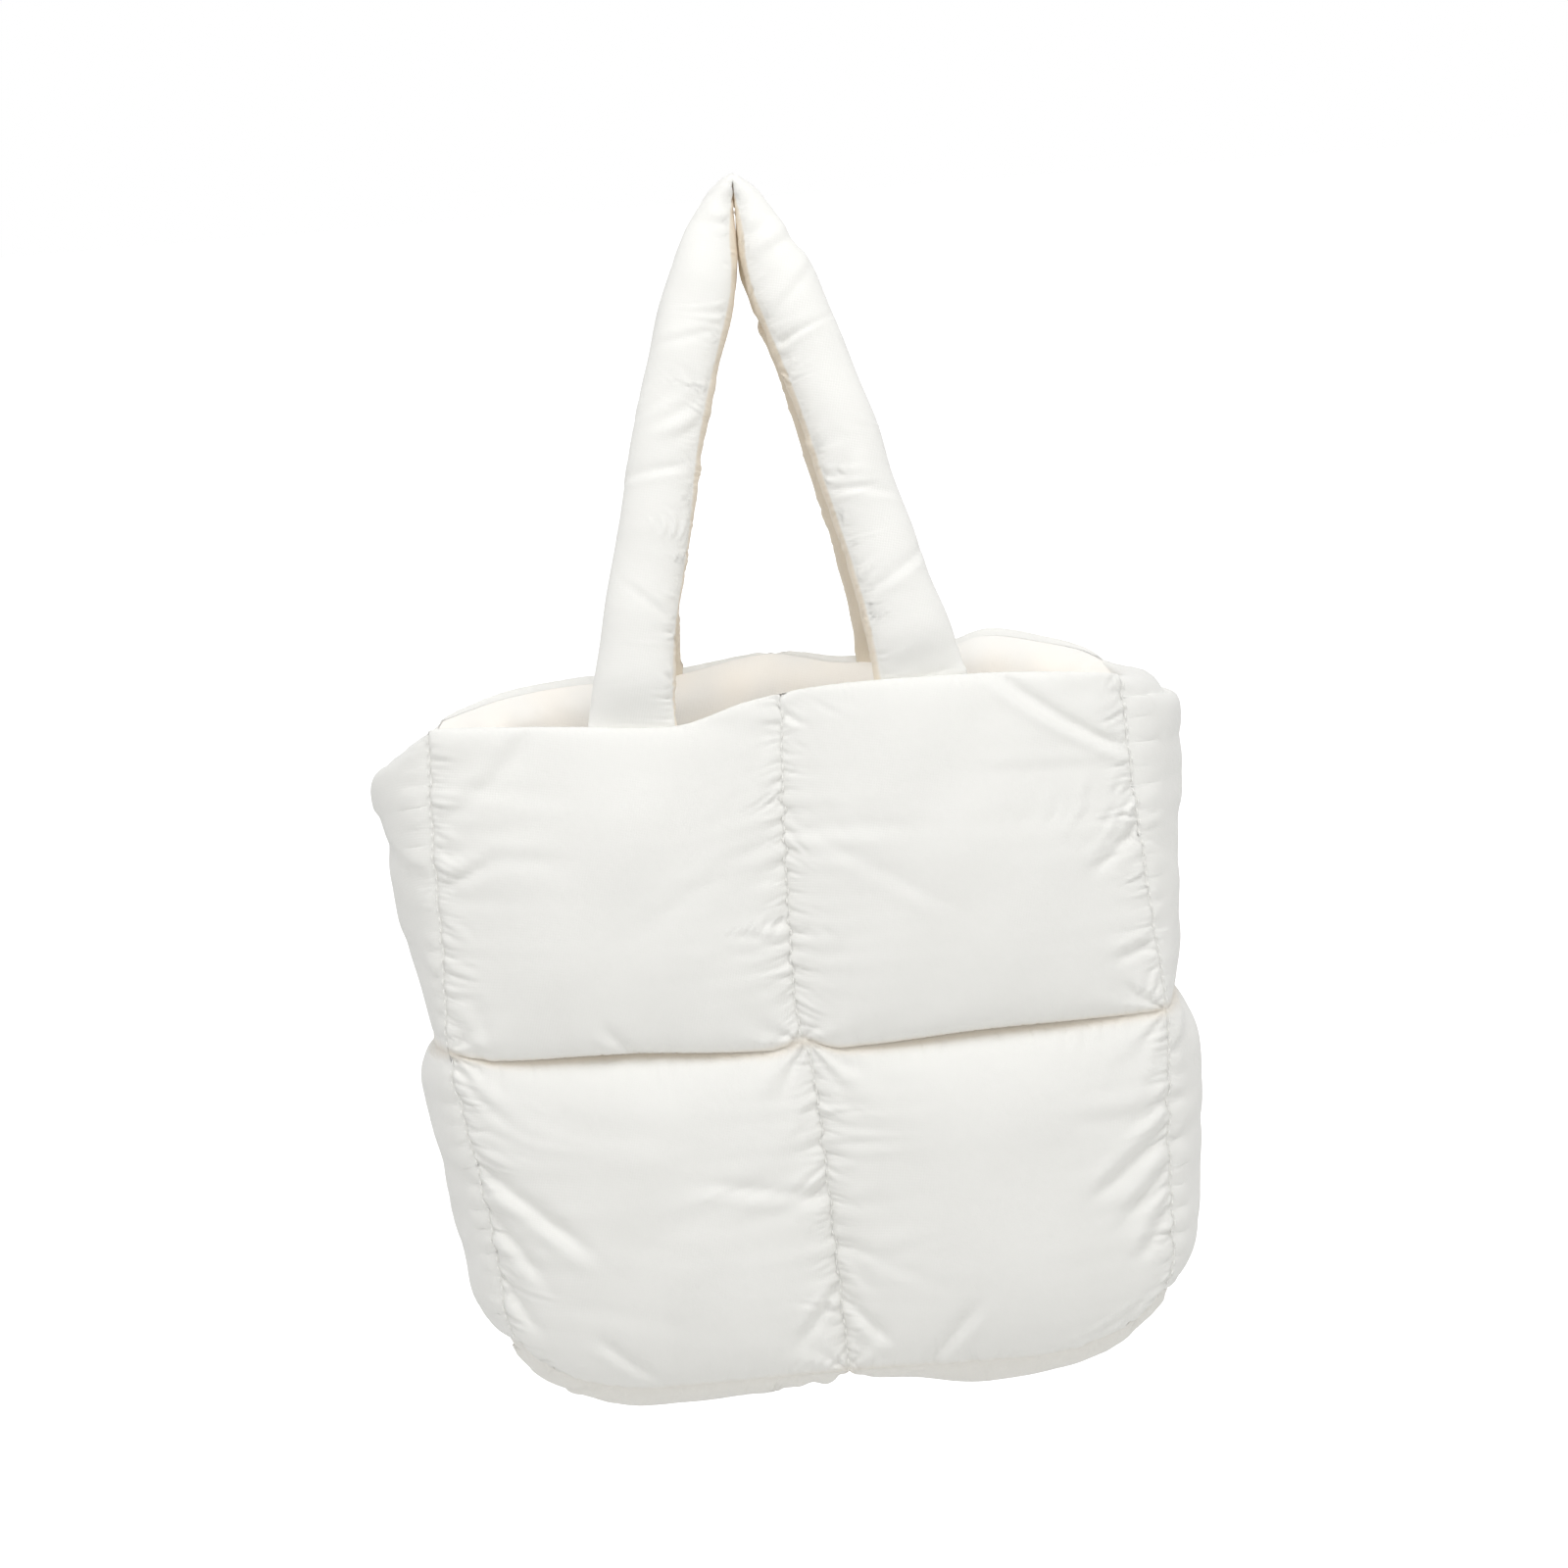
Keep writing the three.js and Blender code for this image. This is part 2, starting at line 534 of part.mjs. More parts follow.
// A handle: an oval padded tube, flattened where it is sewn in and folded flat at the hanging point.
function handleGeometry(facing) {
  const sections = handleSections(facing);
  const last = sections.length - 1;
  const points = [];
  sections.forEach((section, i) => {
    const before = sections[Math.max(i - 1, 0)].centre;
    const after = sections[Math.min(i + 1, last)].centre;
    const run = after.clone().sub(before).normalize();
    if (i === 0) run.set(0, 0, 1);
    if (i === last) run.set(0, 0, -1);
    const wide = new THREE.Vector3().crossVectors(run, new THREE.Vector3(0, 1, 0)).normalize();
    const deep = new THREE.Vector3().crossVectors(wide, run).normalize();
    for (let k = 0; k < TUBE_SIDES; k += 1) {
      const angle = (2 * Math.PI * k) / TUBE_SIDES;
      const point = section.centre.clone();
      point.addScaledVector(wide, (section.wide / 2) * Math.cos(angle));
      point.addScaledVector(deep, (section.deep / 2) * Math.sin(angle));
      points.push(point);
    }
  });
  const index = [];
  const at = (i, k) => i * TUBE_SIDES + (k % TUBE_SIDES);
  for (let i = 0; i < last; i += 1) {
    for (let k = 0; k < TUBE_SIDES; k += 1) {
      index.push(at(i, k), at(i, k + 1), at(i + 1, k + 1), at(i, k), at(i + 1, k + 1), at(i + 1, k));
    }
  }
  [0, last].forEach((i) => {
    const hub = points.length;
    points.push(sections[i].centre.clone());
    for (let k = 0; k < TUBE_SIDES; k += 1) {
      const pair = i === 0 ? [at(i, k + 1), at(i, k)] : [at(i, k), at(i, k + 1)];
      index.push(hub, ...pair);
    }
  });
  return facingOut(points, index);
}

function clothMesh(name, geometry, color, roughness) {
  const material = new THREE.MeshStandardMaterial({ color, roughness, metalness: 0 });
  const mesh = new THREE.Mesh(geometry, material);
  mesh.name = name;
  return mesh;
}

const rimDips = { left: LEFT_RIM_DIP, right: RIGHT_RIM_DIP };
const bag = new THREE.Group();
bag.add(clothMesh('front_panel', panelGeometry(-1, FRONT_FOLDS), CLOTH.cloth, 0.55));
bag.add(clothMesh('back_panel', panelGeometry(1, BACK_FOLDS), CLOTH.cloth, 0.55));
bag.add(clothMesh('left_gusset', gussetGeometry(-1, rimDips.left), CLOTH.cloth, 0.55));
bag.add(clothMesh('right_gusset', gussetGeometry(1, rimDips.right), CLOTH.cloth, 0.55));
bag.add(clothMesh('base_panel', baseGeometry(), CLOTH.cloth, 0.55));
bag.add(clothMesh('lining', liningGeometry(rimDips), CLOTH.lining, 0.65));
bag.add(clothMesh('front_handle', handleGeometry(-1), CLOTH.cloth, 0.55));
bag.add(clothMesh('back_handle', handleGeometry(1), CLOTH.cloth, 0.55));

export default bag;
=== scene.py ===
"""A quilted puffer tote bag, hanging by its two padded handles.

Every padded piece is a skin of cloth on a grid. Its seams are held where the seam net of the bag
runs, the cloth between them starts as a filled puff with the small folds that its seams draw in,
and it is cut longer than its seams. A relaxation with the filling's pressure and the cloth's
weight then lets it settle, so that it swells and puckers as sewn cloth does.
"""

import logging
import math
from collections.abc import Callable
from dataclasses import dataclass, field
from enum import Enum

import bpy
import numpy as np
from mathutils import Matrix, Vector


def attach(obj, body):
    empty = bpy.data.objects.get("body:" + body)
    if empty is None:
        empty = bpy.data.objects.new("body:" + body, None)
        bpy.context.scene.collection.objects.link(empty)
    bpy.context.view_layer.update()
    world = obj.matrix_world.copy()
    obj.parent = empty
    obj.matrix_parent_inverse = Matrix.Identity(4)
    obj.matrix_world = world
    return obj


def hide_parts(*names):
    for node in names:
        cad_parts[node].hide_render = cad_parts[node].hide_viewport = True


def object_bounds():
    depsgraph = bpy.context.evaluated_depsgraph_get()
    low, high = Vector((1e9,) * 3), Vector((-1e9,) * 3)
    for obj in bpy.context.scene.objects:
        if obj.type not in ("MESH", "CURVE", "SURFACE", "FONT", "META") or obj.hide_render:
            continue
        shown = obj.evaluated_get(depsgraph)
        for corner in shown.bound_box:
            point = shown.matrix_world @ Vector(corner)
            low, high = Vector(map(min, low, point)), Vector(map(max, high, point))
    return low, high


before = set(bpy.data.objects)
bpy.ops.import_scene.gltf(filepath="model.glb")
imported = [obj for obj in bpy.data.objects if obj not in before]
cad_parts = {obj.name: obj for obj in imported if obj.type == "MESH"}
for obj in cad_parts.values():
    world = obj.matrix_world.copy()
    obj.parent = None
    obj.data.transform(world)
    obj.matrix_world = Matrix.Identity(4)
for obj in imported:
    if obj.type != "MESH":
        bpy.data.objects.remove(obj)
CAD_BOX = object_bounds()

LOG = logging.getLogger("tote")
Grid = np.ndarray
MM = 0.001


class Slot(Enum):
    """The record's material slots."""

    SHELL = "shell_cloth"
    LINING = "lining_cloth"
    HANDLE = "handle_cloth"


class Facing(Enum):
    """Which way a panel or handle lies from the middle of the bag."""

    FRONT = -1
    BACK = 1


class Side(Enum):
    """Which side of the bag a piece is on, seen from the front."""

    LEFT = -1
    RIGHT = 1


# Curves and grids


def read_table(keys: tuple, values: tuple, at: Grid) -> Grid:
    """Reads a smooth curve through table points.

    Cubic Hermite: the slope at a point is the mean slope across its neighbours.

    Args:
        keys: rising key column.
        values: value column of the same length.
        at: where to read.

    Returns:
        The values, shaped like at.
    """
    k, v = np.asarray(keys, float), np.asarray(values, float)
    at = np.clip(np.asarray(at, float), k[0], k[-1])
    i = np.clip(np.searchsorted(k, at, side="right") - 1, 0, len(k) - 2)
    before, after = np.maximum(np.arange(len(k)) - 1, 0), np.minimum(np.arange(len(k)) + 1, len(k) - 1)
    slope = (v[after] - v[before]) / (k[after] - k[before])
    span = k[i + 1] - k[i]
    t = (at - k[i]) / span
    p, q, m, n = v[i], v[i + 1], slope[i] * span, slope[i + 1] * span
    return ((2 * p - 2 * q + m + n) * t + 3 * (q - p) - 2 * m - n) * t * t + m * t + p


def smooth(low: float, high: float, value: Grid) -> Grid:
    """Smooth step: 3t^2 - 2t^3 with t running from 0 at low to 1 at high."""
    t = np.clip((np.asarray(value, float) - low) / (high - low), 0.0, 1.0)
    return t * t * (3 - 2 * t)


def swell(away: Grid, reach: float, power: float) -> Grid:
    """A puff's rise from a seam: (1 - (1 - t)^2)^power with t = away / reach, at most 1."""
    t = np.clip(away / reach, 0.0, 1.0)
    return (t * (2 - t)) ** power


def unit(vectors: Grid) -> Grid:
    """Vectors divided by their lengths."""
    return vectors / np.maximum(np.linalg.norm(vectors, axis=-1, keepdims=True), 1e-12)


def resample(line: Grid, count: int) -> Grid:
    """Points at even running length along a polyline.

    Args:
        line: (n, k) points, of which the first three columns are a place.
        count: how many points to return.

    Returns:
        (count, k) points from the line's start to its end.
    """
    run = np.concatenate(([0.0], np.cumsum(np.linalg.norm(np.diff(line[:, :3], axis=0), axis=1))))
    at = np.linspace(0.0, run[-1], count)
    return np.stack([np.interp(at, run, column) for column in line.T], axis=1)


def coons(top: Grid, bottom: Grid, left: Grid, right: Grid) -> Grid:
    """A patch between four edge curves.

    The blend of left and right, plus the blend of top and bottom, less the blend of the corners.

    Args:
        top: (columns, 3) upper edge, left to right.
        bottom: (columns, 3) lower edge, left to right.
        left: (rows, 3) left edge, top to bottom.
        right: (rows, 3) right edge, top to bottom.

    Returns:
        (rows, columns, 3) grid.
    """
    u = np.linspace(0, 1, len(top))[None, :, None]
    v = np.linspace(0, 1, len(left))[:, None, None]
    sides = (1 - u) * left[:, None] + u * right[:, None]
    ends = (1 - v) * top[None] + v * bottom[None]
    corners = (1 - v) * ((1 - u) * top[0] + u * top[-1]) + v * ((1 - u) * bottom[0] + u * bottom[-1])
    return sides + ends - corners


def grid_normals(points: Grid) -> Grid:
    """Unit normals of a grid: the cross product of its central differences down and across."""
    down, across = np.empty_like(points), np.empty_like(points)
    down[1:-1], down[0], down[-1] = points[2:] - points[:-2], points[1] - points[0], points[-1] - points[-2]
    across[:, 1:-1] = points[:, 2:] - points[:, :-2]
    across[:, 0], across[:, -1] = points[:, 1] - points[:, 0], points[:, -1] - points[:, -2]
    normal = np.empty_like(points)
    for k, (i, j) in enumerate(((1, 2), (2, 0), (0, 1))):
        normal[..., k] = down[..., i] * across[..., j] - down[..., j] * across[..., i]
    return normal / (np.sqrt(np.einsum("ijk,ijk->ij", normal, normal)) + 1e-12)[..., None]


def finer(points: Grid, rows: int, columns: int) -> Grid:
    """The same values on another grid, read linearly between its points."""
    r, c = points.shape[:2]
    i, j = np.linspace(0, r - 1, rows), np.linspace(0, c - 1, columns)
    a, b = np.minimum(i.astype(int), r - 2), np.minimum(j.astype(int), c - 2)
    s, t = (i - a)[:, None, None], (j - b)[None, :, None]
    upper = points[a][:, b] * (1 - t) + points[a][:, b + 1] * t
    lower = points[a + 1][:, b] * (1 - t) + points[a + 1][:, b + 1] * t
    return upper * (1 - s) + lower * s


# Folds


@dataclass(frozen=True)
class Ripple:
    """Random waves of about one length, always the same for the same key."""

    pitch: float
    key: int
    count: int = 18

    def at(self, run: Grid) -> Grid:
        """Sum of cosines whose lengths lie from 0.6 to 1.7 times the pitch, with unit variance."""
        chance = np.random.default_rng(self.key)
        lengths = self.pitch * np.exp(chance.uniform(math.log(0.6), math.log(1.7), self.count))
        phases = chance.uniform(0, 2 * math.pi, self.count)
        total = np.zeros(np.shape(run))
        for length, phase in zip(lengths, phases):
            total += np.cos(2 * math.pi / length * run + phase)
        return total * math.sqrt(2 / self.count)

    def over(self, x: Grid, z: Grid) -> Grid:
        """The same over a plane: the mean of ripples in three directions, with unit variance."""
        total = np.zeros(np.shape(x))
        for k, angle in enumerate((0.4, 1.5, 2.5)):
            total += Ripple(self.pitch, self.key + 31 * k, 8).at(x * math.cos(angle) + z * math.sin(angle))
        return total / math.sqrt(3)


@dataclass(frozen=True)
class Pucker:
    """Small folds that a seam draws into the cloth beside it."""

    pitch: float
    reach: float
    depth: float
    slant: float
    key: int

    def lift(self, run: Grid, away: Grid) -> Grid:
        """Height of the folds.

        A ripple along run + lean * away, rising from 0 at the seam and fading as
        exp(-(away / reach)^1.5), where lean, depth and reach change along the seam.
        """
        lean = self.slant * (1 + 1.6 * Ripple(self.pitch * 8, self.key + 3).at(run))
        wave = Ripple(self.pitch, self.key).at(run + lean * away)
        strong = np.clip(0.65 + 0.6 * Ripple(self.pitch * 5, self.key + 1).at(run), 0.1, 1.8)
        reach = self.reach * np.clip(1 + 0.7 * Ripple(self.pitch * 2.1, self.key + 2).at(run), 0.4, 2.8)
        rise = 1 - np.exp(-away / (0.22 * self.pitch))
        return self.depth * strong * wave * rise * np.exp(-((away / reach) ** 1.5))


@dataclass(frozen=True)
class Fold:
    """One crease in a puff, straight from a start to an end on the puff's plane, in millimetres."""

    start: tuple
    end: tuple
    width: float
    depth: float

    def lift(self, p: Grid, q: Grid) -> Grid:
        """Height of the crease at the places p, q in metres.

        A valley exp(-(d / width)^2) with a ridge of half its height beside it, fading past its ends.
        """
        a, b = np.array(self.start) * MM, np.array(self.end) * MM
        length = float(np.linalg.norm(b - a))
        way = (b - a) / length
        along = (p - a[0]) * way[0] + (q - a[1]) * way[1]
        beside = (p - a[0]) * way[1] - (q - a[1]) * way[0]
        width = self.width * MM
        past = np.maximum(0.0, np.abs(along - length / 2) - length * 0.32) / (length * 0.25 + width)
        valley = -np.exp(-((beside / width) ** 2)) + 0.5 * np.exp(-(((beside - 1.9 * width) / width) ** 2))
        return self.depth * MM * valley * np.exp(-(past**2))


@dataclass(frozen=True)
class Pinch:
    """Short folds that fan out from a point where seams meet."""

    reach: float
    depth: float
    waves: float
    key: int

    def lift(self, right: Grid, down: Grid) -> Grid:
        """Waves over the angle round the point, strongest at the reach and 0 along both seams.

        depth * cos(4 * waves * angle) * sin(2 * angle) * t * exp(1 - t), with t = distance / reach.
        """
        away = np.hypot(right, down)
        angle = np.arctan2(down, right)
        t = away / self.reach
        fan = np.cos(4 * self.waves * angle + self.key)
        return self.depth * fan * np.sin(2 * angle) * t * np.exp(1 - t)


# The seam net


@dataclass(frozen=True)
class SeamNet:
    """Where the seams of the hanging bag run, in metres from the hanging point."""

    width: float = 0.336
    height: float = 0.338
    depth: float = 0.100
    level_drop: float = 0.168
    corner: float = 0.046
    corner_width: float = 0.076
    lean: float = 0.010
    drop: float = 0.2475
    back_rise: float = 0.004
    rim_wave: float = 0.009
    rim_reach: float = 0.45
    bow: float = 0.009
    level_dip: float = 0.005
    wander: float = 0.0005
    side_pitch: float = 0.017
    centre_pitch: float = 0.014
    end_rise: tuple = (0.008, 0.0005)
    line_points: int = 160
    run_down: tuple = (0.0, 0.16, 0.32, 0.47, 0.53, 0.68, 0.83, 1.0)
    run_half: tuple = (1.0, 1.015, 1.027, 1.046, 1.04, 1.005, 0.988, 0.976)
    run_lean: tuple = (0.0, 0.0, 0.2, 0.35, 0.5, 0.75, 0.95, 0.9)
    run_centre: tuple = (0.35, 0.0, -0.15, -0.1, 0.4, 0.7, 0.9, 1.1)
    run_deep: tuple = (0.94, 1.0, 1.04, 1.04, 1.05, 1.06, 1.02, 0.96)
    front_across: tuple = (-1.0, -0.6, -0.3, -0.1, 0.05, 0.55, 1.0)
    front_rise: tuple = (-0.1, -0.8, -1.2, -0.1, 0.4, 0.35, -0.1)
    back_across: tuple = (-1.0, -0.93, -0.8, -0.6, -0.3, 0.0, 0.22, 0.5, 0.66, 0.84, 0.95, 1.0)
    back_lift: tuple = (-1.5, -1.1, -0.5, -0.1, 0.0, 0.8, 0.0, 0.1, 0.85, 0.2, -0.4, -0.9)
    level_across: tuple = (-1.0, -0.86, -0.5, -0.1, 0.0, 0.1, 0.5, 0.86, 1.0)
    level_rise: tuple = (0.0, -0.9, -0.5, -0.9, -0.1, -1.0, -0.3, -0.2, 0.0)

    def half(self, down: Grid) -> Grid:
        """Half the width between the side seams, down metres below the rim."""
        return self.width / 2 * read_table(self.run_down, self.run_half, down / self.height)

    def middle(self, down: Grid) -> Grid:
        """X midway between the side seams."""
        return self.lean * read_table(self.run_down, self.run_lean, down / self.height)

    def centre(self, down: Grid) -> Grid:
        """X of the upright seam between the puffs."""
        return self.lean * read_table(self.run_down, self.run_centre, down / self.height)

    def deep(self, down: Grid) -> Grid:
        """Half the depth between the front and back seams."""
        return self.depth / 2 * read_table(self.run_down, self.run_deep, down / self.height)

    def fade(self, down: Grid) -> Grid:
        """1 at the rim, falling to 0 where the rim's waves end."""
        return np.maximum(0.0, 1 - down / (self.level_drop * self.rim_reach))

    def wave(self, across: Grid, down: Grid, facing: Facing) -> Grid:
        """Rise of the front or back rim, fading out below it."""
        if facing is Facing.FRONT:
            return self.rim_wave * read_table(self.front_across, self.front_rise, across) * self.fade(down)
        rise = self.rim_wave * read_table(self.back_across, self.back_lift, across) * self.fade(down)
        return rise + self.back_rise * np.maximum(0.0, 1 - down / self.level_drop) ** 2

    def level_end(self, side: Side) -> float:
        """How far below the rim the level seam meets a side seam."""
        return self.level_drop - self.end_rise[(side.value + 1) // 2]

    def level_wave(self, across: Grid) -> Grid:
        """How the level seam rises and dips between the side seams, as a share of level_dip."""
        return read_table(self.level_across, self.level_rise, across)

    def point(self, x: Grid, facing: Facing, down: Grid, lift: Grid) -> Grid:
        """(n, 3) net points of a panel from x, the way down and extra height."""
        x, down, lift = np.broadcast_arrays(np.asarray(x, float), np.asarray(down, float), lift)
        return np.stack([x, facing.value * self.deep(down), lift - self.drop - down], axis=-1)

    def side_point(self, side: Side, facing: Facing, down: Grid, turn: Grid) -> Grid:
        """Points of a side seam, and round its lower corner by the angle turn."""
        ripple = Ripple(self.side_pitch, 70 + side.value + 5 * facing.value)
        shake = self.wander * ripple.at(down + self.corner * turn)
        reach = self.half(down) - self.corner_width * (1 - np.cos(turn)) + shake
        x = self.middle(down) + side.value * reach
        return self.point(x, facing, down, self.wave(side.value, down, facing))

    def side_line(self, side: Side, facing: Facing, upper: bool, turn_to: float, count: int) -> Grid:
        """Half of a side seam.

        Args:
            side: which side seam.
            facing: the panel that it edges.
            upper: True for the half above the level seam.
            turn_to: how far the lower half follows the round corner, in radians.
            count: number of points.

        Returns:
            (count, 3) points at even spacing, top to bottom.
        """
        level, straight = self.level_end(side), self.height - self.corner
        ends = (0.0, level) if upper else (level, straight)
        down, turn = np.linspace(*ends, self.line_points), np.zeros(self.line_points)
        if not upper:
            more = np.linspace(0, turn_to, self.line_points // 2)[1:]
            down = np.concatenate((down, straight + self.corner * np.sin(more)))
            turn = np.concatenate((turn, more))
        return resample(self.side_point(side, facing, down, turn), count)

    def foot_line(self, side: Side, facing: Facing, turn_from: float, count: int) -> Grid:
        """The lower seam, from the round corner at turn_from to the foot of the centre seam."""
        turn = np.linspace(turn_from, math.pi / 2, 60)
        down = self.height - self.corner + self.corner * np.sin(turn)
        arc = self.side_point(side, facing, down, turn)
        foot = self.centre_line(facing, False, 2)[-1:]
        return resample(np.concatenate((arc, foot)), count)

    def centre_line(self, facing: Facing, upper: bool, count: int) -> Grid:
        """Half of the upright seam between the puffs, top to bottom."""
        middle = self.level_drop - self.level_dip * self.level_wave(np.array(0.0))
        down = np.linspace(0.0, middle, count) if upper else np.linspace(middle, self.height, count)
        shake = self.wander * Ripple(self.centre_pitch, 60 + facing.value).at(down)
        return self.point(self.centre(down) + shake, facing, down, self.wave(np.zeros(count), down, facing))

    def cross_line(self, side: Side, facing: Facing, rim: bool, count: int) -> Grid:
        """Half of the rim or of the level seam, from a side seam to the centre seam."""
        away = np.linspace(1, 0, count)
        end_down = 0.0 if rim else self.level_end(side)
        end = self.side_point(side, facing, np.array([end_down]), np.zeros(1))[0]
        start = self.centre_line(facing, rim, 2)[0]
        line = start + (end - start) * away[:, None]
        share = side.value * away
        if rim:
            line[:, 2] = -self.drop + self.wave(share, np.zeros(count), facing)
        else:
            flat = (1 - away) * self.level_wave(np.array(0.0))
            line[:, 2] += self.level_dip * (self.level_wave(share) - flat)
        return line


# Cloth that settles


@dataclass
class Skin:
    """One side of a padded piece, as cloth on a grid whose seams are held."""

    start: Grid
    held: Grid
    gather_across: Grid
    gather_down: Grid
    filling: Grid
    stiff: Grid
    outward: float
    contact: Callable[[Grid], None] | None = None


@dataclass(frozen=True)
class Settling:
    """How a skin is relaxed, from a coarse grid to the fine one that it keeps."""

    steps: tuple = (60, 60, 80)
    rounds: int = 4
    push: float = 0.010
    weight: float = 0.004
    keep: float = 0.88
    hold: float = 0.02
    shear: float = 0.3
    bend: tuple = (0.02, 0.03, 0.05)
    quick_share: int = 6

    def pull(self, a: Grid, b: Grid, free_a: Grid, free_b: Grid, rest: Grid, strength: float) -> None:
        """Moves both ends of each thread along it towards its cut length.

        The change is strength * (length - rest), shared between the ends that are free to move.
        """
        d = b - a
        length = np.sqrt(np.einsum("ijk,ijk->ij", d, d)) + 1e-9
        share = strength * (length - rest) / (length * np.maximum(free_a + free_b, 1.0))
        d *= share[..., None]
        a += d * free_a[..., None]
        b -= d * free_b[..., None]

    def tighten(self, p: Grid, free: Grid, across: Grid, down: Grid, bias: tuple) -> None:
        """One round over all threads: across, down and on the bias, in groups that share no point."""
        r, c = p.shape[:2]
        rows_on, rows_back = slice(0, -1), slice(1, None)
        for k in (0, 1):
            a, b = slice(k, c - 1, 2), slice(k + 1, c, 2)
            self.pull(p[:, a], p[:, b], free[:, a], free[:, b], across[:, a], 1.0)
        for k in (0, 1):
            a, b = slice(k, r - 1, 2), slice(k + 1, r, 2)
            self.pull(p[a], p[b], free[a], free[b], down[a], 1.0)
            for rest, left, right in zip(bias, (rows_on, rows_back), (rows_back, rows_on)):
                self.pull(p[a, left], p[b, right], free[a, left], free[b, right], rest[a], self.shear)

    def level(self, skin: Skin, p: Grid, steps: int, bend: float) -> Grid:
        """Relaxes one grid: filling, weight, threads, bending and the puff's own form.

        Args:
            skin: cut lengths, held seams and filling at this grid's size.
            p: starting points.
            steps: how many steps of momentum.
            bend: how strongly the cloth straightens towards its neighbours' mean.

        Returns:
            The settled grid.
        """
        start = skin.start.astype(np.float32)
        cut_across, cut_down = skin.gather_across.astype(np.float32), skin.gather_down.astype(np.float32)
        across = np.linalg.norm(np.diff(start, axis=1), axis=-1) * cut_across[:, 1:]
        down = np.linalg.norm(np.diff(start, axis=0), axis=-1) * cut_down[1:]
        more = ((skin.gather_across + skin.gather_down) / 2)[1:, 1:].astype(np.float32)
        bias = (np.linalg.norm(start[1:, 1:] - start[:-1, :-1], axis=-1) * more,
                np.linalg.norm(start[1:, :-1] - start[:-1, 1:], axis=-1) * more)
        free = (~skin.held).astype(np.float32)
        edge = float(np.median(down))
        p = np.where(skin.held[..., None], start, p).astype(np.float32)
        old = p.copy()
        push = np.float32(self.push * edge * skin.outward)
        force = (skin.filling * free)[..., None].astype(np.float32) * push
        fall = np.array([0.0, 0.0, -self.weight * edge], np.float32) * free[..., None]
        loose = free[..., None]
        ease_out = (np.float32(bend) * skin.stiff * free)[1:-1, 1:-1, None].astype(np.float32)
        for _ in range(steps):
            drift = (p - old) * np.float32(self.keep)
            old = p.copy()
            p = p + (drift + self.hold * (start - p)) * loose + grid_normals(p) * force + fall
            for _ in range(self.rounds):
                self.tighten(p, free, across, down, bias)
            mean = (p[2:, 1:-1] + p[:-2, 1:-1] + p[1:-1, 2:] + p[1:-1, :-2]) / 4
            p[1:-1, 1:-1] += ease_out * (mean - p[1:-1, 1:-1])
            if skin.contact is not None:
                skin.contact(p)
        return p.astype(float)

    def settle(self, make: Callable[[int], Skin], sizes: tuple) -> Grid:
        """Relaxes a skin on finer and finer grids.

        On each finer grid the cloth keeps the change that the coarser one made to its form, and
        takes its small folds from the finer form.

        Args:
            make: gives the skin at a grid size.
            sizes: the grid sizes, coarse to fine.

        Returns:
            The settled points of the finest grid.
        """
        change = None
        for size, steps, bend in zip(sizes, self.steps, self.bend):
            skin = make(size)
            p = skin.start if change is None else skin.start + finer(change, *skin.start.shape[:2])
            p = self.level(skin, p, steps, bend)
            change = p - skin.start
        return p


# Meshes


def quads(rows: int, columns: int, shift: int = 0, wrap: bool = False) -> Grid:
    """Corner numbers of a grid's faces, whose last column may join the first."""
    at = np.arange(rows * columns).reshape(rows, columns) + shift
    at = np.concatenate((at, at[:, :1]), axis=1) if wrap else at
    return np.stack((at[:-1, :-1], at[1:, :-1], at[1:, 1:], at[:-1, 1:]), axis=-1).reshape(-1, 4)


def border(rows: int, columns: int, shift: int = 0) -> Grid:
    """Numbers of a grid's edge points: along the top, down, back along the bottom and up."""
    at = np.arange(rows * columns).reshape(rows, columns) + shift
    return np.concatenate((at[0, :-1], at[:-1, -1], at[-1, :0:-1], at[:0:-1, 0]))


def mesh_object(name: str, points: Grid, faces: list[Grid], material: bpy.types.Material,
                warm: Grid | None = None) -> bpy.types.Object:
    """Puts points and faces into a mesh object, turned so that its faces point out.

    Args:
        name: the piece's name.
        points: (n, 3) places in metres.
        faces: arrays of point numbers, a row for each face.
        material: its material.
        warm: (n,) share of painted shade in folds, with a painted glow in place of light through the cloth.

    Returns:
        The linked object.
    """
    volume = 0.0
    for group in faces:
        for k in range(1, group.shape[1] - 1):
            a, b, c = points[group[:, 0]], points[group[:, k]], points[group[:, k + 1]]
            volume += float(np.einsum("ij,ij->", a, np.cross(b, c)))
    faces = [group[:, ::-1] for group in faces] if volume < 0 else faces
    totals = np.concatenate([np.full(len(group), group.shape[1]) for group in faces])
    corners = np.concatenate([group.ravel() for group in faces])
    mesh = bpy.data.meshes.new(name)
    mesh.vertices.add(len(points))
    mesh.vertices.foreach_set("co", points.astype(np.float32).ravel())
    mesh.loops.add(len(corners))
    mesh.loops.foreach_set("vertex_index", corners.astype(np.int32))
    mesh.polygons.add(len(totals))
    mesh.polygons.foreach_set("loop_start", (np.cumsum(totals) - totals).astype(np.int32))
    mesh.polygons.foreach_set("use_smooth", np.ones(len(totals), bool))
    mesh.update(calc_edges=True)
    mesh.validate()
    mesh.materials.append(material)
    # Per-point share of painted shade and painted glow, read by the cloth material.
    layer = mesh.attributes.new("warm", "FLOAT", "POINT")
    layer.data.foreach_set("value", (np.zeros(len(points)) if warm is None else warm).astype(np.float32))
    obj = bpy.data.objects.new(name, mesh)
    bpy.context.scene.collection.objects.link(obj)
    return obj


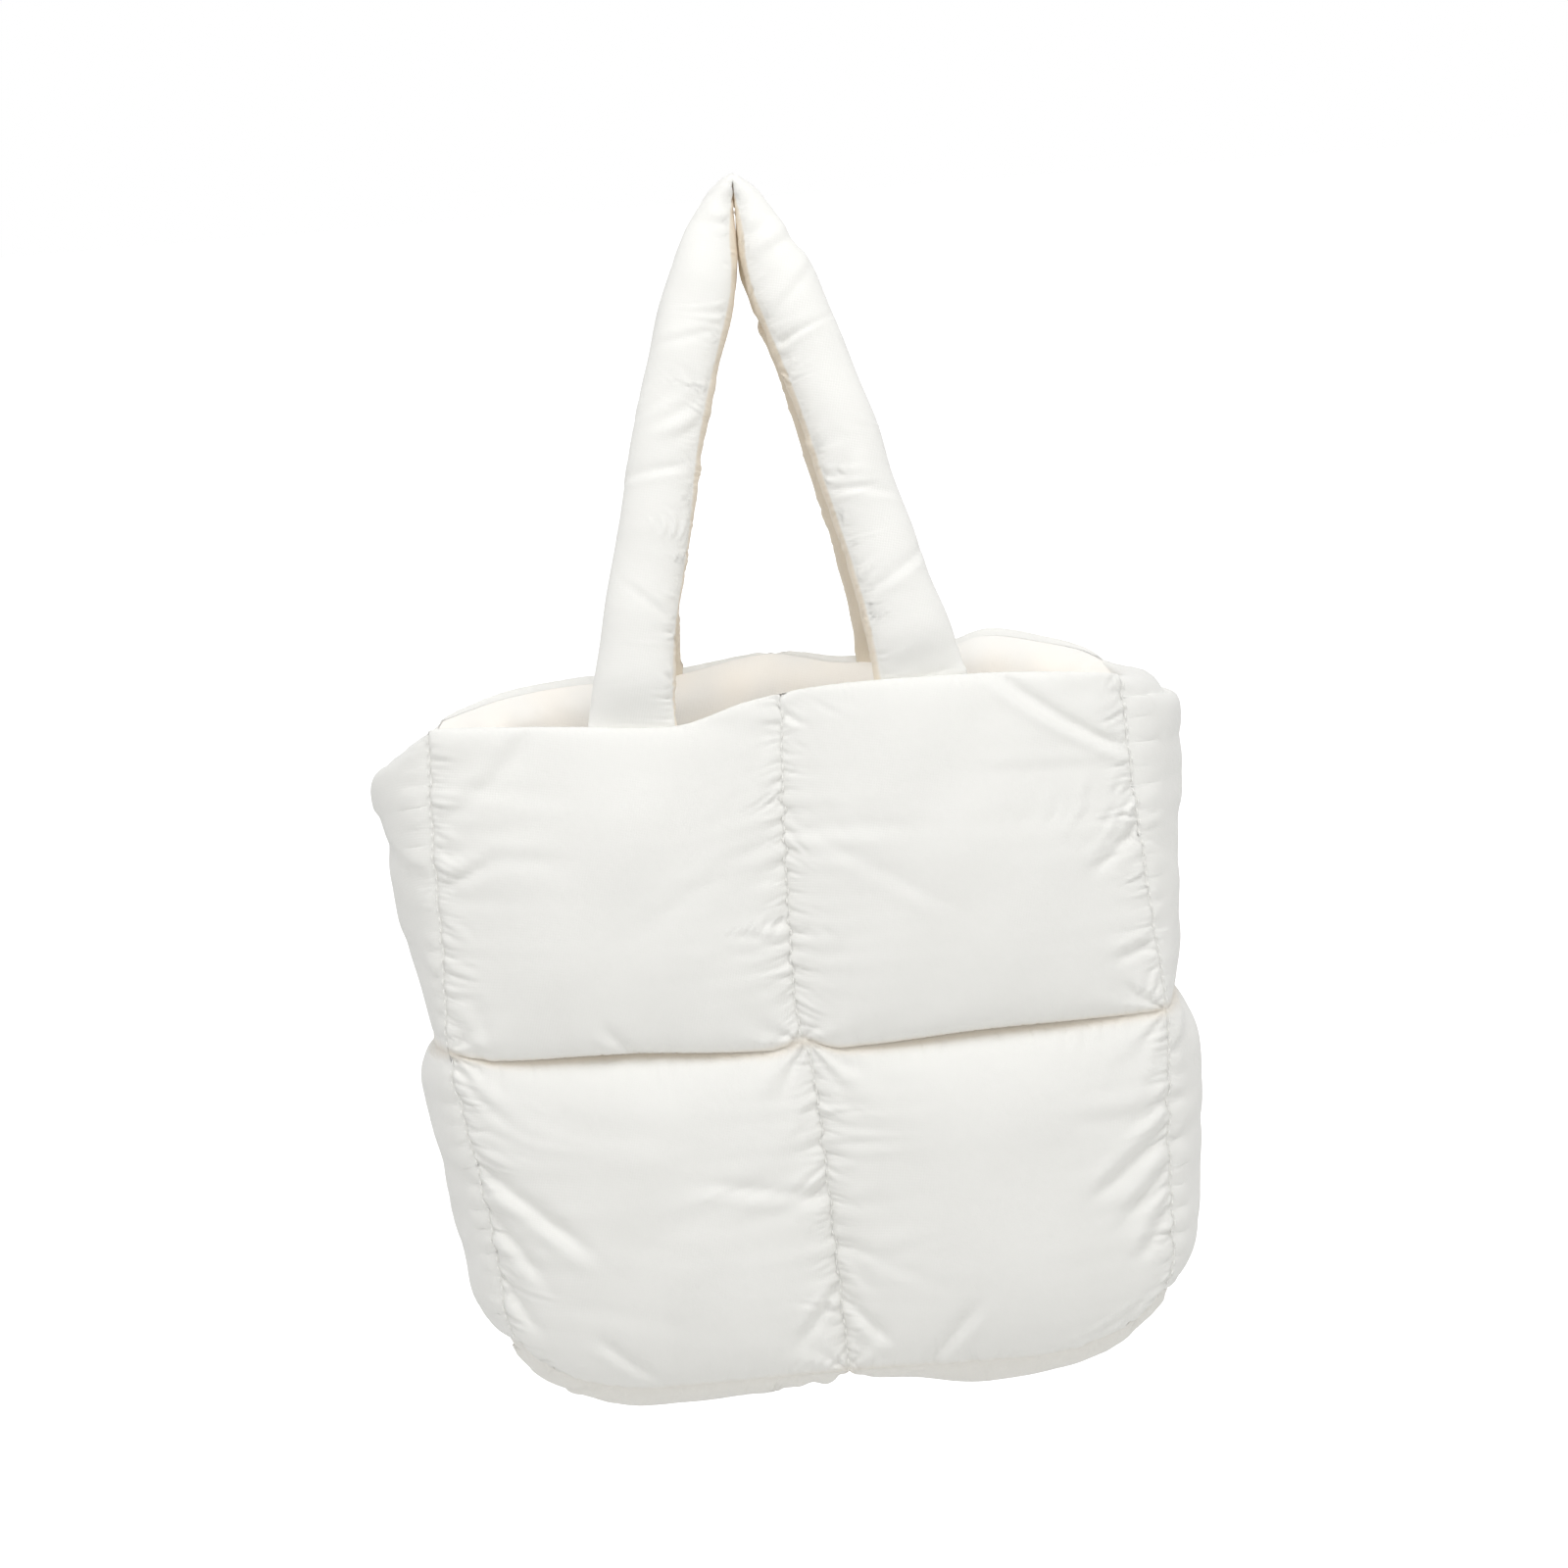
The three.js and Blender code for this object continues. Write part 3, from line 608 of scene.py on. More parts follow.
def pad_object(name: str, outer: Grid, inner: Grid, material: bpy.types.Material,
               warm: Grid) -> bpy.types.Object:
    """A closed pad between a fine outer grid and a plain inner grid.

    Each edge of the inner grid spans the same whole number of outer edges, and a fan of triangles
    joins them.

    Args:
        name: the piece's name.
        outer: (rows, columns, 3) points of the outer cloth.
        inner: (few rows, few columns, 3) points of the inner side.
        material: its material.
        warm: (rows, columns) share of painted shade and painted glow on the outer cloth.

    Returns:
        The linked object.
    """
    rows, columns = outer.shape[:2]
    few_rows, few_columns = inner.shape[:2]
    ratio = (rows - 1) // (few_rows - 1)
    shift = rows * columns
    fine, plain = border(rows, columns), border(few_rows, few_columns, shift)
    count = len(fine)
    k = np.arange(count)
    post = k // ratio + (k % ratio >= ratio / 2)
    fans = np.stack((fine[k], fine[(k + 1) % count], plain[post % len(plain)]), axis=1)
    step = np.arange(len(plain))
    meet = (step * ratio + math.ceil(ratio / 2)) % count
    links = np.stack((plain, fine[meet], plain[(step + 1) % len(plain)]), axis=1)
    faces = [quads(rows, columns), quads(few_rows, few_columns, shift)[:, ::-1], fans, links]
    points = np.concatenate((outer.reshape(-1, 3), inner.reshape(-1, 3)))
    warm = np.concatenate((warm.ravel(), np.zeros(few_rows * few_columns)))
    return mesh_object(name, points, faces, material, warm)


# Finishes


@dataclass(frozen=True)
class Cloth:
    """A plain woven nylon cloth and how it takes the light, with a painted shade and a painted glow for its
    folds.
    """

    name: str
    color: tuple
    shade: tuple
    warm: tuple
    glow: tuple
    roughness: float
    sheen: float
    crinkle: float
    weave: float
    sheen_roughness: float = 0.45
    shine: float = 0.35

    def material(self) -> bpy.types.Material:
        """Builds the cloth's node material: colour with painted shade and painted glow, roughness and two
        scales of relief.
        """
        material = bpy.data.materials.new(self.name)
        material.use_nodes = True
        tree = material.node_tree
        shader = tree.nodes["Principled BSDF"]
        shader.inputs["Sheen Weight"].default_value = self.sheen
        shader.inputs["Sheen Roughness"].default_value = self.sheen_roughness
        shader.inputs["Specular IOR Level"].default_value = self.shine
        # Emission carries the painted glow; its colour comes from the cloth group.
        shader.inputs["Emission Strength"].default_value = 1.0
        place = tree.nodes.new("ShaderNodeTexCoord")
        look = tree.nodes.new("ShaderNodeGroup")
        look.node_tree = cloth_look()
        for name, color in (("Color", self.color), ("Shade", self.shade), ("Warm", self.warm),
                            ("Glow", self.glow)):
            look.inputs[name].default_value = (*color, 1)
        for name, value in (("Roughness", self.roughness), ("Crinkle", self.crinkle), ("Weave", self.weave)):
            look.inputs[name].default_value = value
        tree.links.new(place.outputs["Object"], look.inputs["Place"])
        # Each point's share of painted shade and painted glow.
        share = tree.nodes.new("ShaderNodeAttribute")
        share.attribute_name = "warm"
        tree.links.new(share.outputs["Fac"], look.inputs["Painted Shading Share"])
        for source, target in (("Color", "Base Color"), ("Glow", "Emission Color"),
                               ("Roughness", "Roughness"), ("Normal", "Normal")):
            tree.links.new(look.outputs[source], shader.inputs[target])
        return material


CLOUD_SCALE = 16.0
RUB_SCALE = 60.0
RUB_CHANGE = 0.05
CRINKLE_SCALE = 95.0
CRINKLE_HEIGHT = 0.0016
THREAD_SCALE = 420.0
THREAD_SHAKE = 0.6
THREAD_HEIGHT = 0.00015


def cloth_look() -> bpy.types.NodeTree:
    """The shared cloth effect: faint colour change, painted shade and painted glow in folds, crinkles and
    weave.
    """
    found = bpy.data.node_groups.get("cloth_look")
    if found:
        return found
    group = bpy.data.node_groups.new("cloth_look", "ShaderNodeTree")
    for name, kind in (("Place", "Vector"), ("Color", "Color"), ("Shade", "Color"), ("Warm", "Color"),
                       ("Glow", "Color"), ("Painted Shading Share", "Float"), ("Roughness", "Float"),
                       ("Crinkle", "Float"), ("Weave", "Float")):
        group.interface.new_socket(name, in_out="INPUT", socket_type=f"NodeSocket{kind}")
    for name, kind in (("Color", "Color"), ("Glow", "Color"), ("Roughness", "Float"), ("Normal", "Vector")):
        group.interface.new_socket(name, in_out="OUTPUT", socket_type=f"NodeSocket{kind}")
    add, link = group.nodes.new, group.links.new
    given, out = add("NodeGroupInput"), add("NodeGroupOutput")

    def noise(scale: float, detail: float, rough: float) -> bpy.types.Node:
        """A noise texture on the piece's own place."""
        node = add("ShaderNodeTexNoise")
        node.inputs["Scale"].default_value = scale
        node.inputs["Detail"].default_value = detail
        node.inputs["Roughness"].default_value = rough
        link(given.outputs["Place"], node.inputs["Vector"])
        return node

    def blend(factor: bpy.types.NodeSocket, low: bpy.types.NodeSocket | None,
              high: bpy.types.NodeSocket) -> bpy.types.NodeSocket:
        """A mix that runs from the low colour, or from black, to the high one."""
        node = add("ShaderNodeMix")
        node.data_type = "RGBA"
        link(factor, node.inputs["Factor"])
        if low is None:
            node.inputs["A"].default_value = (0.0, 0.0, 0.0, 1)
        else:
            link(low, node.inputs["A"])
        link(high, node.inputs["B"])
        return node.outputs["Result"]

    cloud = noise(CLOUD_SCALE, 3.0, 0.5)
    tint = blend(cloud.outputs["Fac"], given.outputs["Shade"], given.outputs["Color"])
    # Painted shade: the colour runs to the warm shade colour by the point's share; painted glow: emission by
    # the same share.
    link(blend(given.outputs["Painted Shading Share"], tint, given.outputs["Warm"]), out.inputs["Color"])
    link(blend(given.outputs["Painted Shading Share"], None, given.outputs["Glow"]), out.inputs["Glow"])

    rub = noise(RUB_SCALE, 2.0, 0.5)
    spread = add("ShaderNodeMapRange")
    spread.inputs["To Min"].default_value = -RUB_CHANGE
    spread.inputs["To Max"].default_value = RUB_CHANGE
    link(rub.outputs["Fac"], spread.inputs["Value"])
    total = add("ShaderNodeMath")
    link(spread.outputs["Result"], total.inputs[0])
    link(given.outputs["Roughness"], total.inputs[1])
    link(total.outputs["Value"], out.inputs["Roughness"])

    fold = noise(CRINKLE_SCALE, 4.0, 0.62)
    crease = add("ShaderNodeBump")
    crease.inputs["Distance"].default_value = CRINKLE_HEIGHT
    link(fold.outputs["Fac"], crease.inputs["Height"])
    link(given.outputs["Crinkle"], crease.inputs["Strength"])
    threads = []
    for axis in ("X", "Z"):
        thread = add("ShaderNodeTexWave")
        thread.wave_type, thread.bands_direction = "BANDS", axis
        thread.inputs["Scale"].default_value = THREAD_SCALE
        thread.inputs["Distortion"].default_value = THREAD_SHAKE
        link(given.outputs["Place"], thread.inputs["Vector"])
        threads.append(thread)
    cross = add("ShaderNodeMath")
    cross.operation = "MULTIPLY"
    link(threads[0].outputs["Fac"], cross.inputs[0])
    link(threads[1].outputs["Fac"], cross.inputs[1])
    weave = add("ShaderNodeBump")
    weave.inputs["Distance"].default_value = THREAD_HEIGHT
    link(cross.outputs["Value"], weave.inputs["Height"])
    link(given.outputs["Weave"], weave.inputs["Strength"])
    link(crease.outputs["Normal"], weave.inputs["Normal"])
    link(weave.outputs["Normal"], out.inputs["Normal"])
    return group


SHELL = Cloth(
    name="shell_cloth",
    color=(0.90, 0.895, 0.865),
    shade=(0.88, 0.875, 0.84),
    # Painted shade for creases and the underside, then a painted glow that stands in for light through the
    # cloth.
    warm=(0.76, 0.67, 0.54),
    glow=(0.05, 0.034, 0.016),
    roughness=0.52,
    sheen=0.25,
    crinkle=0.2,
    weave=0.4,
)
LINING = Cloth(
    name="lining_cloth",
    color=(0.93, 0.925, 0.90),
    shade=(0.92, 0.90, 0.86),
    # Painted light: a warmer tint and a glow that lighten the lining inside the bag.
    warm=(0.92, 0.88, 0.82),
    glow=(0.072, 0.068, 0.060),
    roughness=0.6,
    sheen=0.15,
    crinkle=0.2,
    weave=0.4,
)


# Pieces


@dataclass
class PaddedPiece:
    """A padded piece that stands for a solid of the frame."""

    net: SeamNet
    node: str
    material: bpy.types.Material
    slot: Slot = Slot.SHELL
    fill: float = 0.6
    inner_gap: float = 0.0008
    shade_reach: float = 0.003
    settling: Settling = field(default_factory=Settling)

    def declare(self, obj: bpy.types.Object) -> bpy.types.Object:
        """Says what the piece rides on and replaces, and logs its face count."""
        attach(obj, "root")
        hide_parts(self.node)
        LOG.info("%s: %d faces", obj.name, len(obj.data.polygons))
        return obj


FRONT_FOLDS = (
    Fold((112, -253), (166, -283), 2.6, 2.6),
    Fold((-120, -262), (-160, -290), 4.0, 1.4),
    Fold((-146, -315), (-167, -324), 3.5, 2.2),
    Fold((173, -319), (153, -337), 3.5, 2.8),
    Fold((178, -379), (160, -384), 3.0, 2.2),
    Fold((-93, -395), (-82, -408), 3.0, 1.7),
    Fold((-166, -460), (-118, -502), 4.0, 3.6),
    Fold((-162, -483), (-140, -515), 3.5, 3.1),
    Fold((-157, -518), (-143, -544), 3.5, 3.1),
    Fold((178, -472), (144, -498), 4.0, 3.4),
    Fold((178, -490), (156, -512), 3.5, 3.1),
    Fold((176, -510), (161, -533), 3.5, 2.8),
    Fold((8, -542), (-9, -562), 3.2, 2.5),
    Fold((8, -542), (29, -565), 3.2, 2.5),
    Fold((-46, -480), (6, -493), 3.6, 1.7),
    Fold((-106, -558), (-86, -575), 3.2, 2.5),
    Fold((52, -580), (72, -556), 3.4, 2.5),
)
BACK_FOLDS = (
    Fold((-112, -252), (-168, -277), 5.0, 3.6),
    Fold((130, -262), (168, -290), 5.0, 3.4),
    Fold((-170, -340), (-146, -356), 3.5, 2.5),
    Fold((166, -452), (128, -488), 4.0, 3.1),
    Fold((-164, -490), (-138, -516), 3.8, 3.1),
    Fold((6, -540), (-14, -564), 3.2, 2.5),
    Fold((90, -578), (70, -556), 3.4, 2.5),
)


LEFT_FOLDS = (
    Fold((-4, -304), (-40, -319), 4.5, 3.0),
    Fold((-18, -462), (-54, -474), 4.0, 2.4),
    Fold((-20, -360), (-48, -372), 3.5, 1.6),
    Fold((22, -330), (48, -350), 4.0, 2.0),
    Fold((-30, -520), (-50, -500), 3.5, 1.6),
    Fold((20, -500), (48, -486), 4.0, 2.0),
)
RIGHT_FOLDS = (
    Fold((-22, -344), (-50, -330), 4.0, 2.0),
    Fold((-14, -420), (-50, -436), 4.0, 2.4),
    Fold((-24, -470), (-52, -482), 3.5, 2.0),
    Fold((10, -300), (46, -322), 4.5, 2.4),
    Fold((16, -500), (48, -520), 4.0, 2.0),
)


@dataclass(frozen=True)
class Drag:
    """Soft creases that the hanging weight draws from the seams into each puff."""

    key: int
    count: int = 6
    depth: float = 0.6
    width: float = 4.4
    reach: float = 50.0

    def folds(self, low: tuple, high: tuple) -> list[Fold]:
        """Creases of one puff, always the same for the same key.

        Each starts beside the left or right seam at a random height and runs inwards and down by
        a random length and slope.

        Args:
            low: x and z of the puff's lower left corner, in millimetres.
            high: x and z of its upper right corner.

        Returns:
            The creases.
        """
        chance = np.random.default_rng(self.key)
        found = []
        for k in range(self.count):
            side = 1 if k % 2 == 0 else -1
            x = (low[0] if side > 0 else high[0]) + side * chance.uniform(4, 16)
            z = low[1] + (high[1] - low[1]) * chance.uniform(0.22, 0.95)
            length, slope = self.reach * chance.uniform(0.5, 1.2), chance.uniform(-0.15, 0.6)
            end = (x + side * length, max(z - slope * length, low[1] + 8))
            deep = self.depth * chance.uniform(0.5, 1.3)
            found.append(Fold((x, z), end, self.width * chance.uniform(0.7, 1.5), deep))
        return found


@dataclass
class PuffPanel(PaddedPiece):
    """The front or back of the bag: two by two puffs.

    above and below hold the reach and power of the swell from the seams above and below a puff,
    for the upper and the lower puffs. gathers holds pitch, reach, depth and slant of each size of
    pucker, and pinch holds reach, depth and waves of the folds where seams meet.
    """

    facing: Facing = Facing.FRONT
    folds: tuple = FRONT_FOLDS
    crown: tuple = (0.020, 0.022)
    inner_crown: float = 0.009
    ease: float = 0.999
    gather: float = 0.05
    gather_reach: float = 0.008
    droop: float = 0.35
    sag: float = 0.006
    roll: float = 0.008
    roll_reach: float = 0.006
    cell_width: float = 0.168
    cell_height: float = 0.169
    wide_power: float = 0.82
    above: tuple = ((0.045, 0.5), (0.055, 0.52))
    below: tuple = ((0.055, 0.45), (0.065, 0.55))
    gathers: tuple = ((0.0055, 0.006, 0.42, 0.2), (0.0095, 0.010, 0.55, 0.45), (0.021, 0.019, 0.6, 0.45))
    pinch: tuple = (0.011, 1.1 * MM, 2.3)
    sag_at: float = 0.018
    sag_reach: float = 0.016
    # Shares of painted shade at the level seam and at the foot seam.
    level_shade: float = 0.45
    foot_shade: float = 0.3
    key: int = 100
    sizes: tuple = (38, 76, 152)
    coarse: int = 8

    def panel_net(self, size: int) -> Grid:
        """The seam net on a grid of 2 * size + 1 rows and columns, four Coons patches."""
        net, facing, n = self.net, self.facing, size + 1
        turn = math.pi / 4
        tops, lows = [], []
        for side in Side:
            rim = net.cross_line(side, facing, True, n)
            level = net.cross_line(side, facing, False, n)
            outer_up = net.side_line(side, facing, True, 0.0, n)
            outer_low = net.side_line(side, facing, False, turn, n)
            foot = net.foot_line(side, facing, turn, n)
            inner_up, inner_low = net.centre_line(facing, True, n), net.centre_line(facing, False, n)
            if side is Side.LEFT:
                tops.append(coons(rim, level, outer_up, inner_up))
                lows.append(coons(level, foot, outer_low, inner_low))
            else:
                tops.append(coons(rim[::-1], level[::-1], inner_up, outer_up)[:, 1:])
                lows.append(coons(level[::-1], foot[::-1], inner_low, outer_low)[:, 1:])
        return np.concatenate((np.concatenate(tops, axis=1), np.concatenate(lows, axis=1)[1:]), axis=0)

    def puckers(self, net: Grid, left: Grid, right: Grid, up: Grid, low: Grid) -> Grid:
        """Height of all small folds, from the distances to the seams round each puff.

        Args:
            net: the seam net.
            left: distance to the puff's left seam.
            right: distance to its right seam.
            up: distance to its upper seam.
            low: distance to its lower seam.

        Returns:
            Heights on the net's grid.
        """
        n = net.shape[0] // 2
        x, z = net[..., 0], net[..., 2]
        side_left = np.where(np.arange(2 * n + 1) <= n, 1.0, 0.0)[None, :]
        upper = np.where(np.arange(2 * n + 1) <= n, 1.0, 0.0)[:, None]
        total = np.zeros(x.shape)
        key = self.key
        for pitch, reach, depth, slant in self.gathers:
            key += 10
            to_side = Pucker(pitch, reach, depth * MM, slant, key).lift(z, left) * side_left
            to_side += Pucker(pitch, reach, depth * MM, slant, key + 3).lift(z, right) * (1 - side_left)
            to_centre = Pucker(pitch, reach, depth * MM, slant, key + 5).lift(z, right) * side_left
            to_centre += Pucker(pitch, reach, depth * MM, slant, key + 7).lift(z, left) * (1 - side_left)
            total += to_side + 0.9 * to_centre
            to_foot = Pucker(1.5 * pitch, reach, depth * MM, 0.0, key + 8).lift(x, low) * (1 - upper)
            low_depth = 0.6 * depth * MM
            to_level = Pucker(1.6 * pitch, 0.8 * reach, low_depth, 0.0, key + 4).lift(x, low) * upper
            to_level += Pucker(1.6 * pitch, 0.8 * reach, low_depth, 0.0, key + 6).lift(x, up) * (1 - upper)
            to_rim = Pucker(1.6 * pitch, 0.7 * reach, 0.5 * depth * MM, 0.0, key + 9).lift(x, up) * upper
            total += to_foot + to_level + to_rim
        for number, (a, b) in enumerate(((left, up), (left, low), (right, up), (right, low))):
            rim_corner = upper if number % 2 == 0 else 0.0
            total += Pinch(*self.pinch, self.key + number).lift(a, b) * (1 - rim_corner)
        return total

    def skin(self, size: int) -> Skin:
        """The outer cloth at a grid size."""
        net = self.panel_net(size)
        n = net.shape[0]
        step = np.concatenate((np.linspace(0, 1, size + 1), np.linspace(0, 1, size + 1)[1:]))
        across, down = np.broadcast_arrays(step[None, :], step[:, None])
        row = np.arange(n)[:, None] > size
        left, right = across * self.cell_width, (1 - across) * self.cell_width
        up, low = down * self.cell_height, (1 - down) * self.cell_height
        left[:, size], right[:, size] = 0.0, 0.0
        up[size], low[size] = 0.0, 0.0
        lower = np.broadcast_to(row, net.shape[:2])
        wide = swell(np.minimum(left, right), 0.5 * self.cell_width, self.wide_power)
        above = np.where(lower, swell(up, *self.above[1]), swell(up, *self.above[0]))
        below = np.where(lower, swell(low, *self.below[1]), swell(low, *self.below[0]))
        full = np.where(lower, 0.94 + 0.06 * down, 0.80 + 0.2 * smooth(0.0, 0.7, down))
        height = np.where(lower, self.crown[1], self.crown[0]) * wide * above * below * full
        x, z = net[..., 0], net[..., 2]
        height = height + 0.0006 * Ripple(0.07, self.key + 400).over(x, z) * wide * above * below
        height = height + self.puckers(net, left, right, up, low)
        folds = list(self.folds)
        for number, (first, last) in enumerate(((0, size), (size, n - 1))):
            for other, (upper, lowest) in enumerate(((0, size), (size, n - 1))):
                bottom = (x[lowest, first] / MM, z[lowest, first] / MM)
                top = (x[upper, last] / MM, z[upper, last] / MM)
                folds += Drag(self.key + 2 * number + other).folds(bottom, top)
        for fold in folds:
            height = height + fold.lift(x, z) * swell(np.minimum(np.minimum(left, right), low), 0.006, 1.0)
        start = net.copy()
        start[..., 1] += self.facing.value * height
        hang = self.sag * wide * np.exp(-(((low - self.sag_at) / self.sag_reach) ** 2))
        hang = hang * ~lower * swell(low, 0.012, 1.0)
        raised = self.roll * wide**0.3 * (up / self.roll_reach) * np.exp(1 - up / self.roll_reach) * ~lower
        start[..., 2] += raised - hang
        held = np.zeros((n, n), bool)
        held[[0, size, -1]] = True
        held[:, [0, size, -1]] = True
        beside = np.exp(-((np.minimum(left, right) / self.gather_reach) ** 2))
        ends = np.exp(-((np.minimum(up, low) / self.gather_reach) ** 2))
        gather_down = self.ease + self.gather * beside
        gather_across = self.ease + 0.5 * self.gather * ends
        stiff = 0.3 + 2.2 * smooth(0.008, 0.035, np.minimum(np.minimum(left, right), np.minimum(up, low)))
        way = float(grid_normals(net)[size // 2, size // 2, 1]) * self.facing.value
        return Skin(start, held, gather_across, gather_down, 0.8 + 0.4 * down, stiff,
                    math.copysign(1.0, way), self.keep_apart(net, size))

    def keep_apart(self, net: Grid, size: int) -> Callable[[Grid], None]:
        """Keeps puffs from passing through each other at the level and centre seams.

        At the level seam the upper puff may hang over: the dividing surface falls by droop for
        each metre that it stands out from the seam.
        """
        level = net[size, :, 2].astype(np.float32)
        centre = net[:, size, 0].astype(np.float32)
        depth = net[:, :, 1].astype(np.float32)
        gap = np.float32(0.1 * MM)

        def clamp(p: Grid) -> None:
            """Clamps heights at the level seam and widths at the centre seam."""
            divide = level[None, :] - self.droop * np.abs(p[..., 1] - depth)
            np.maximum(p[:size, :, 2], divide[:size] + gap, out=p[:size, :, 2])
            np.minimum(p[size + 1:, :, 2], divide[size + 1:] - gap, out=p[size + 1:, :, 2])
            np.minimum(p[:, :size, 0], centre[:, None] - gap, out=p[:, :size, 0])
            np.maximum(p[:, size + 1:, 0], centre[:, None] + gap, out=p[:, size + 1:, 0])

        return clamp

    def build(self) -> bpy.types.Object:
        """Settles the outer cloth and closes it with a plain inner side."""
        outer = self.settling.settle(self.skin, self.sizes)
        size = self.sizes[-1] // self.coarse
        net = self.panel_net(size)
        step = np.concatenate((np.linspace(0, 1, size + 1), np.linspace(0, 1, size + 1)[1:]))
        dome = np.sqrt(4 * step * (1 - step))
        depth = self.inner_gap + self.inner_crown * dome[None, :] * dome[:, None]
        net[..., 1] -= self.facing.value * depth
        rows = np.arange(outer.shape[0])
        fine = self.sizes[-1]
        to_level = np.abs(rows - fine) / fine * self.cell_height
        to_foot = (rows[-1] - rows) / fine * self.cell_height
        # Painted shade with its painted glow along the level seam and the foot seam.
        warm = self.level_shade * np.exp(-((to_level / self.shade_reach) ** 2))
        warm = warm + self.foot_shade * np.exp(-((to_foot / self.shade_reach) ** 2))
        warm = np.broadcast_to(warm[:, None], outer.shape[:2])
        return self.declare(pad_object(self.node, outer, net, self.material, warm))


@dataclass
class Strip(PaddedPiece):
    """A padded strip between a front and a back seam line: rows along it, columns front to back.

    rise and low_rise hold the share of each half's crown along it, as keys and values. puckers
    holds pitch, reach and depth of each size of pucker.
    """

    crown: tuple = (0.023, 0.013)
    rise: tuple = ((0.0, 0.04, 0.1, 0.4, 0.7, 0.88, 1.0), (0.0, 0.75, 1.0, 0.78, 0.44, 0.22, 0.0))
    low_rise: tuple = ((0.0, 0.06, 0.2, 0.45, 0.7, 0.88, 1.0), (0.0, 0.6, 0.95, 1.0, 0.9, 0.6, 0.0))
    roundness: float = 0.55
    half_length: float = 0.165
    half_width: float = 0.050
    ease: float = 0.999
    gather: float = 0.022
    gather_reach: float = 0.006
    inner_crown: float = 0.004
    folds: tuple = ()
    key: int = 300
    sizes: tuple = (40, 80, 160)
    coarse: int = 8
    narrow: float = 0.996
    # Share of painted shade over the whole strip, and at the level seam.
    shaded: float = 0.0
    level_shade: float = 0.4
    calm: float = 0.0
    calm_rows: int = 12
    puckers: tuple = ((0.0055, 0.004, 0.2), (0.014, 0.007, 0.14), (0.033, 0.022, 0.45))

    def lines(self, size: int) -> tuple[Grid, Grid]:
        """The front and back seam lines, 2 * size + 1 points each."""
        raise NotImplementedError

    def outward(self, run: Grid) -> Grid:
        """Outward direction of the strip at each row, from its running direction."""
        raise NotImplementedError

    def strip_net(self, size: int) -> tuple[Grid, Grid]:
        """Net points and outward directions; between its seams the net bows by bow * (1 - w^2)."""
        front, back = self.lines(size)
        columns = max(2, size * 5 // 8)
        columns -= columns % self.coarse if size == self.sizes[-1] else 0
        w = np.linspace(-1, 1, columns + 1)
        mid = (front + back) / 2
        normal = self.outward(unit(np.gradient(mid, axis=0)))
        share = ((w + 1) / 2)[None, :, None]
        net = front[:, None] * (1 - share) + back[:, None] * share
        net[..., 1] *= self.narrow
        normals = np.broadcast_to(normal[:, None], net.shape)
        net = net + normals * (self.net.bow * (1 - w**2))[None, :, None]
        net[..., 2] -= self.dip(mid)[:, None] * (1 - w**2)[None, :]
        return net, normals

    def dip(self, mid: Grid) -> Grid:
        """How far the strip's middle hangs below its seams, row by row."""
        return np.zeros(len(mid))

    def skin(self, size: int) -> Skin:
        """The outer cloth at a grid size."""
        net, normals = self.strip_net(size)
        rows, columns = net.shape[:2]
        step = np.linspace(0, 1, size + 1)
        along = np.concatenate((step, step[1:]))
        low = np.arange(rows) > size
        profile = np.where(low, self.crown[1] * read_table(*self.low_rise, along),
                           self.crown[0] * read_table(*self.rise, along))
        share = np.linspace(0, 1, columns)
        front = np.broadcast_to(share[None, :] * 2 * self.half_width, (rows, columns))
        back = np.broadcast_to((1 - share)[None, :] * 2 * self.half_width, (rows, columns))
        end = np.minimum(along, 1 - along) * self.half_length
        end[size] = 0.0
        dome = swell(np.minimum(front, back), self.half_width, self.roundness)
        height = profile[:, None] * dome
        run = np.broadcast_to((np.arange(rows) / size * self.half_length)[:, None], (rows, columns))
        y = net[..., 1]
        height = height + 0.0009 * Ripple(0.06, self.key + 400).over(y, run) * dome
        key = self.key
        for pitch, reach, depth in self.puckers:
            key += 10
            height = height + Pucker(pitch, reach, depth * MM, 0.35, key).lift(run, front)
            height = height + Pucker(pitch, reach, depth * MM, 0.35, key + 4).lift(run, back)
            to_end = Pucker(1.3 * pitch, reach, 0.8 * depth * MM, 0.0, key + 7)
            height = height + to_end.lift(y, end[:, None] + 0 * y)
        for fold in self.folds:
            height = height + fold.lift(y, net[..., 2]) * swell(np.minimum(front, back), 0.004, 1.0)
        start = net + normals * height[..., None]
        held = np.zeros((rows, columns), bool)
        held[[0, size, -1]] = True
        held[:, [0, -1]] = True
        beside = np.exp(-((np.minimum(front, back) / self.gather_reach) ** 2))
        gather_down = self.ease + self.gather * beside
        near_end = np.exp(-((end / self.gather_reach) ** 2))[:, None]
        gather_across = self.ease + 0.5 * self.gather * near_end + 0 * beside
        stiff = 0.3 + 1.7 * smooth(0.006, 0.024, np.minimum(np.minimum(front, back), end[:, None]))
        way = float(np.sum(grid_normals(net)[size // 2, columns // 2] * normals[size // 2, 0]))
        return Skin(start, held, gather_across, gather_down, np.ones((rows, columns)), stiff,
                    math.copysign(1.0, way), self.keep_apart(net, size))

    def keep_apart(self, net: Grid, size: int) -> Callable[[Grid], None] | None:
        """Keeps the two puffs of the strip on their own sides of the seam between them."""
        return None

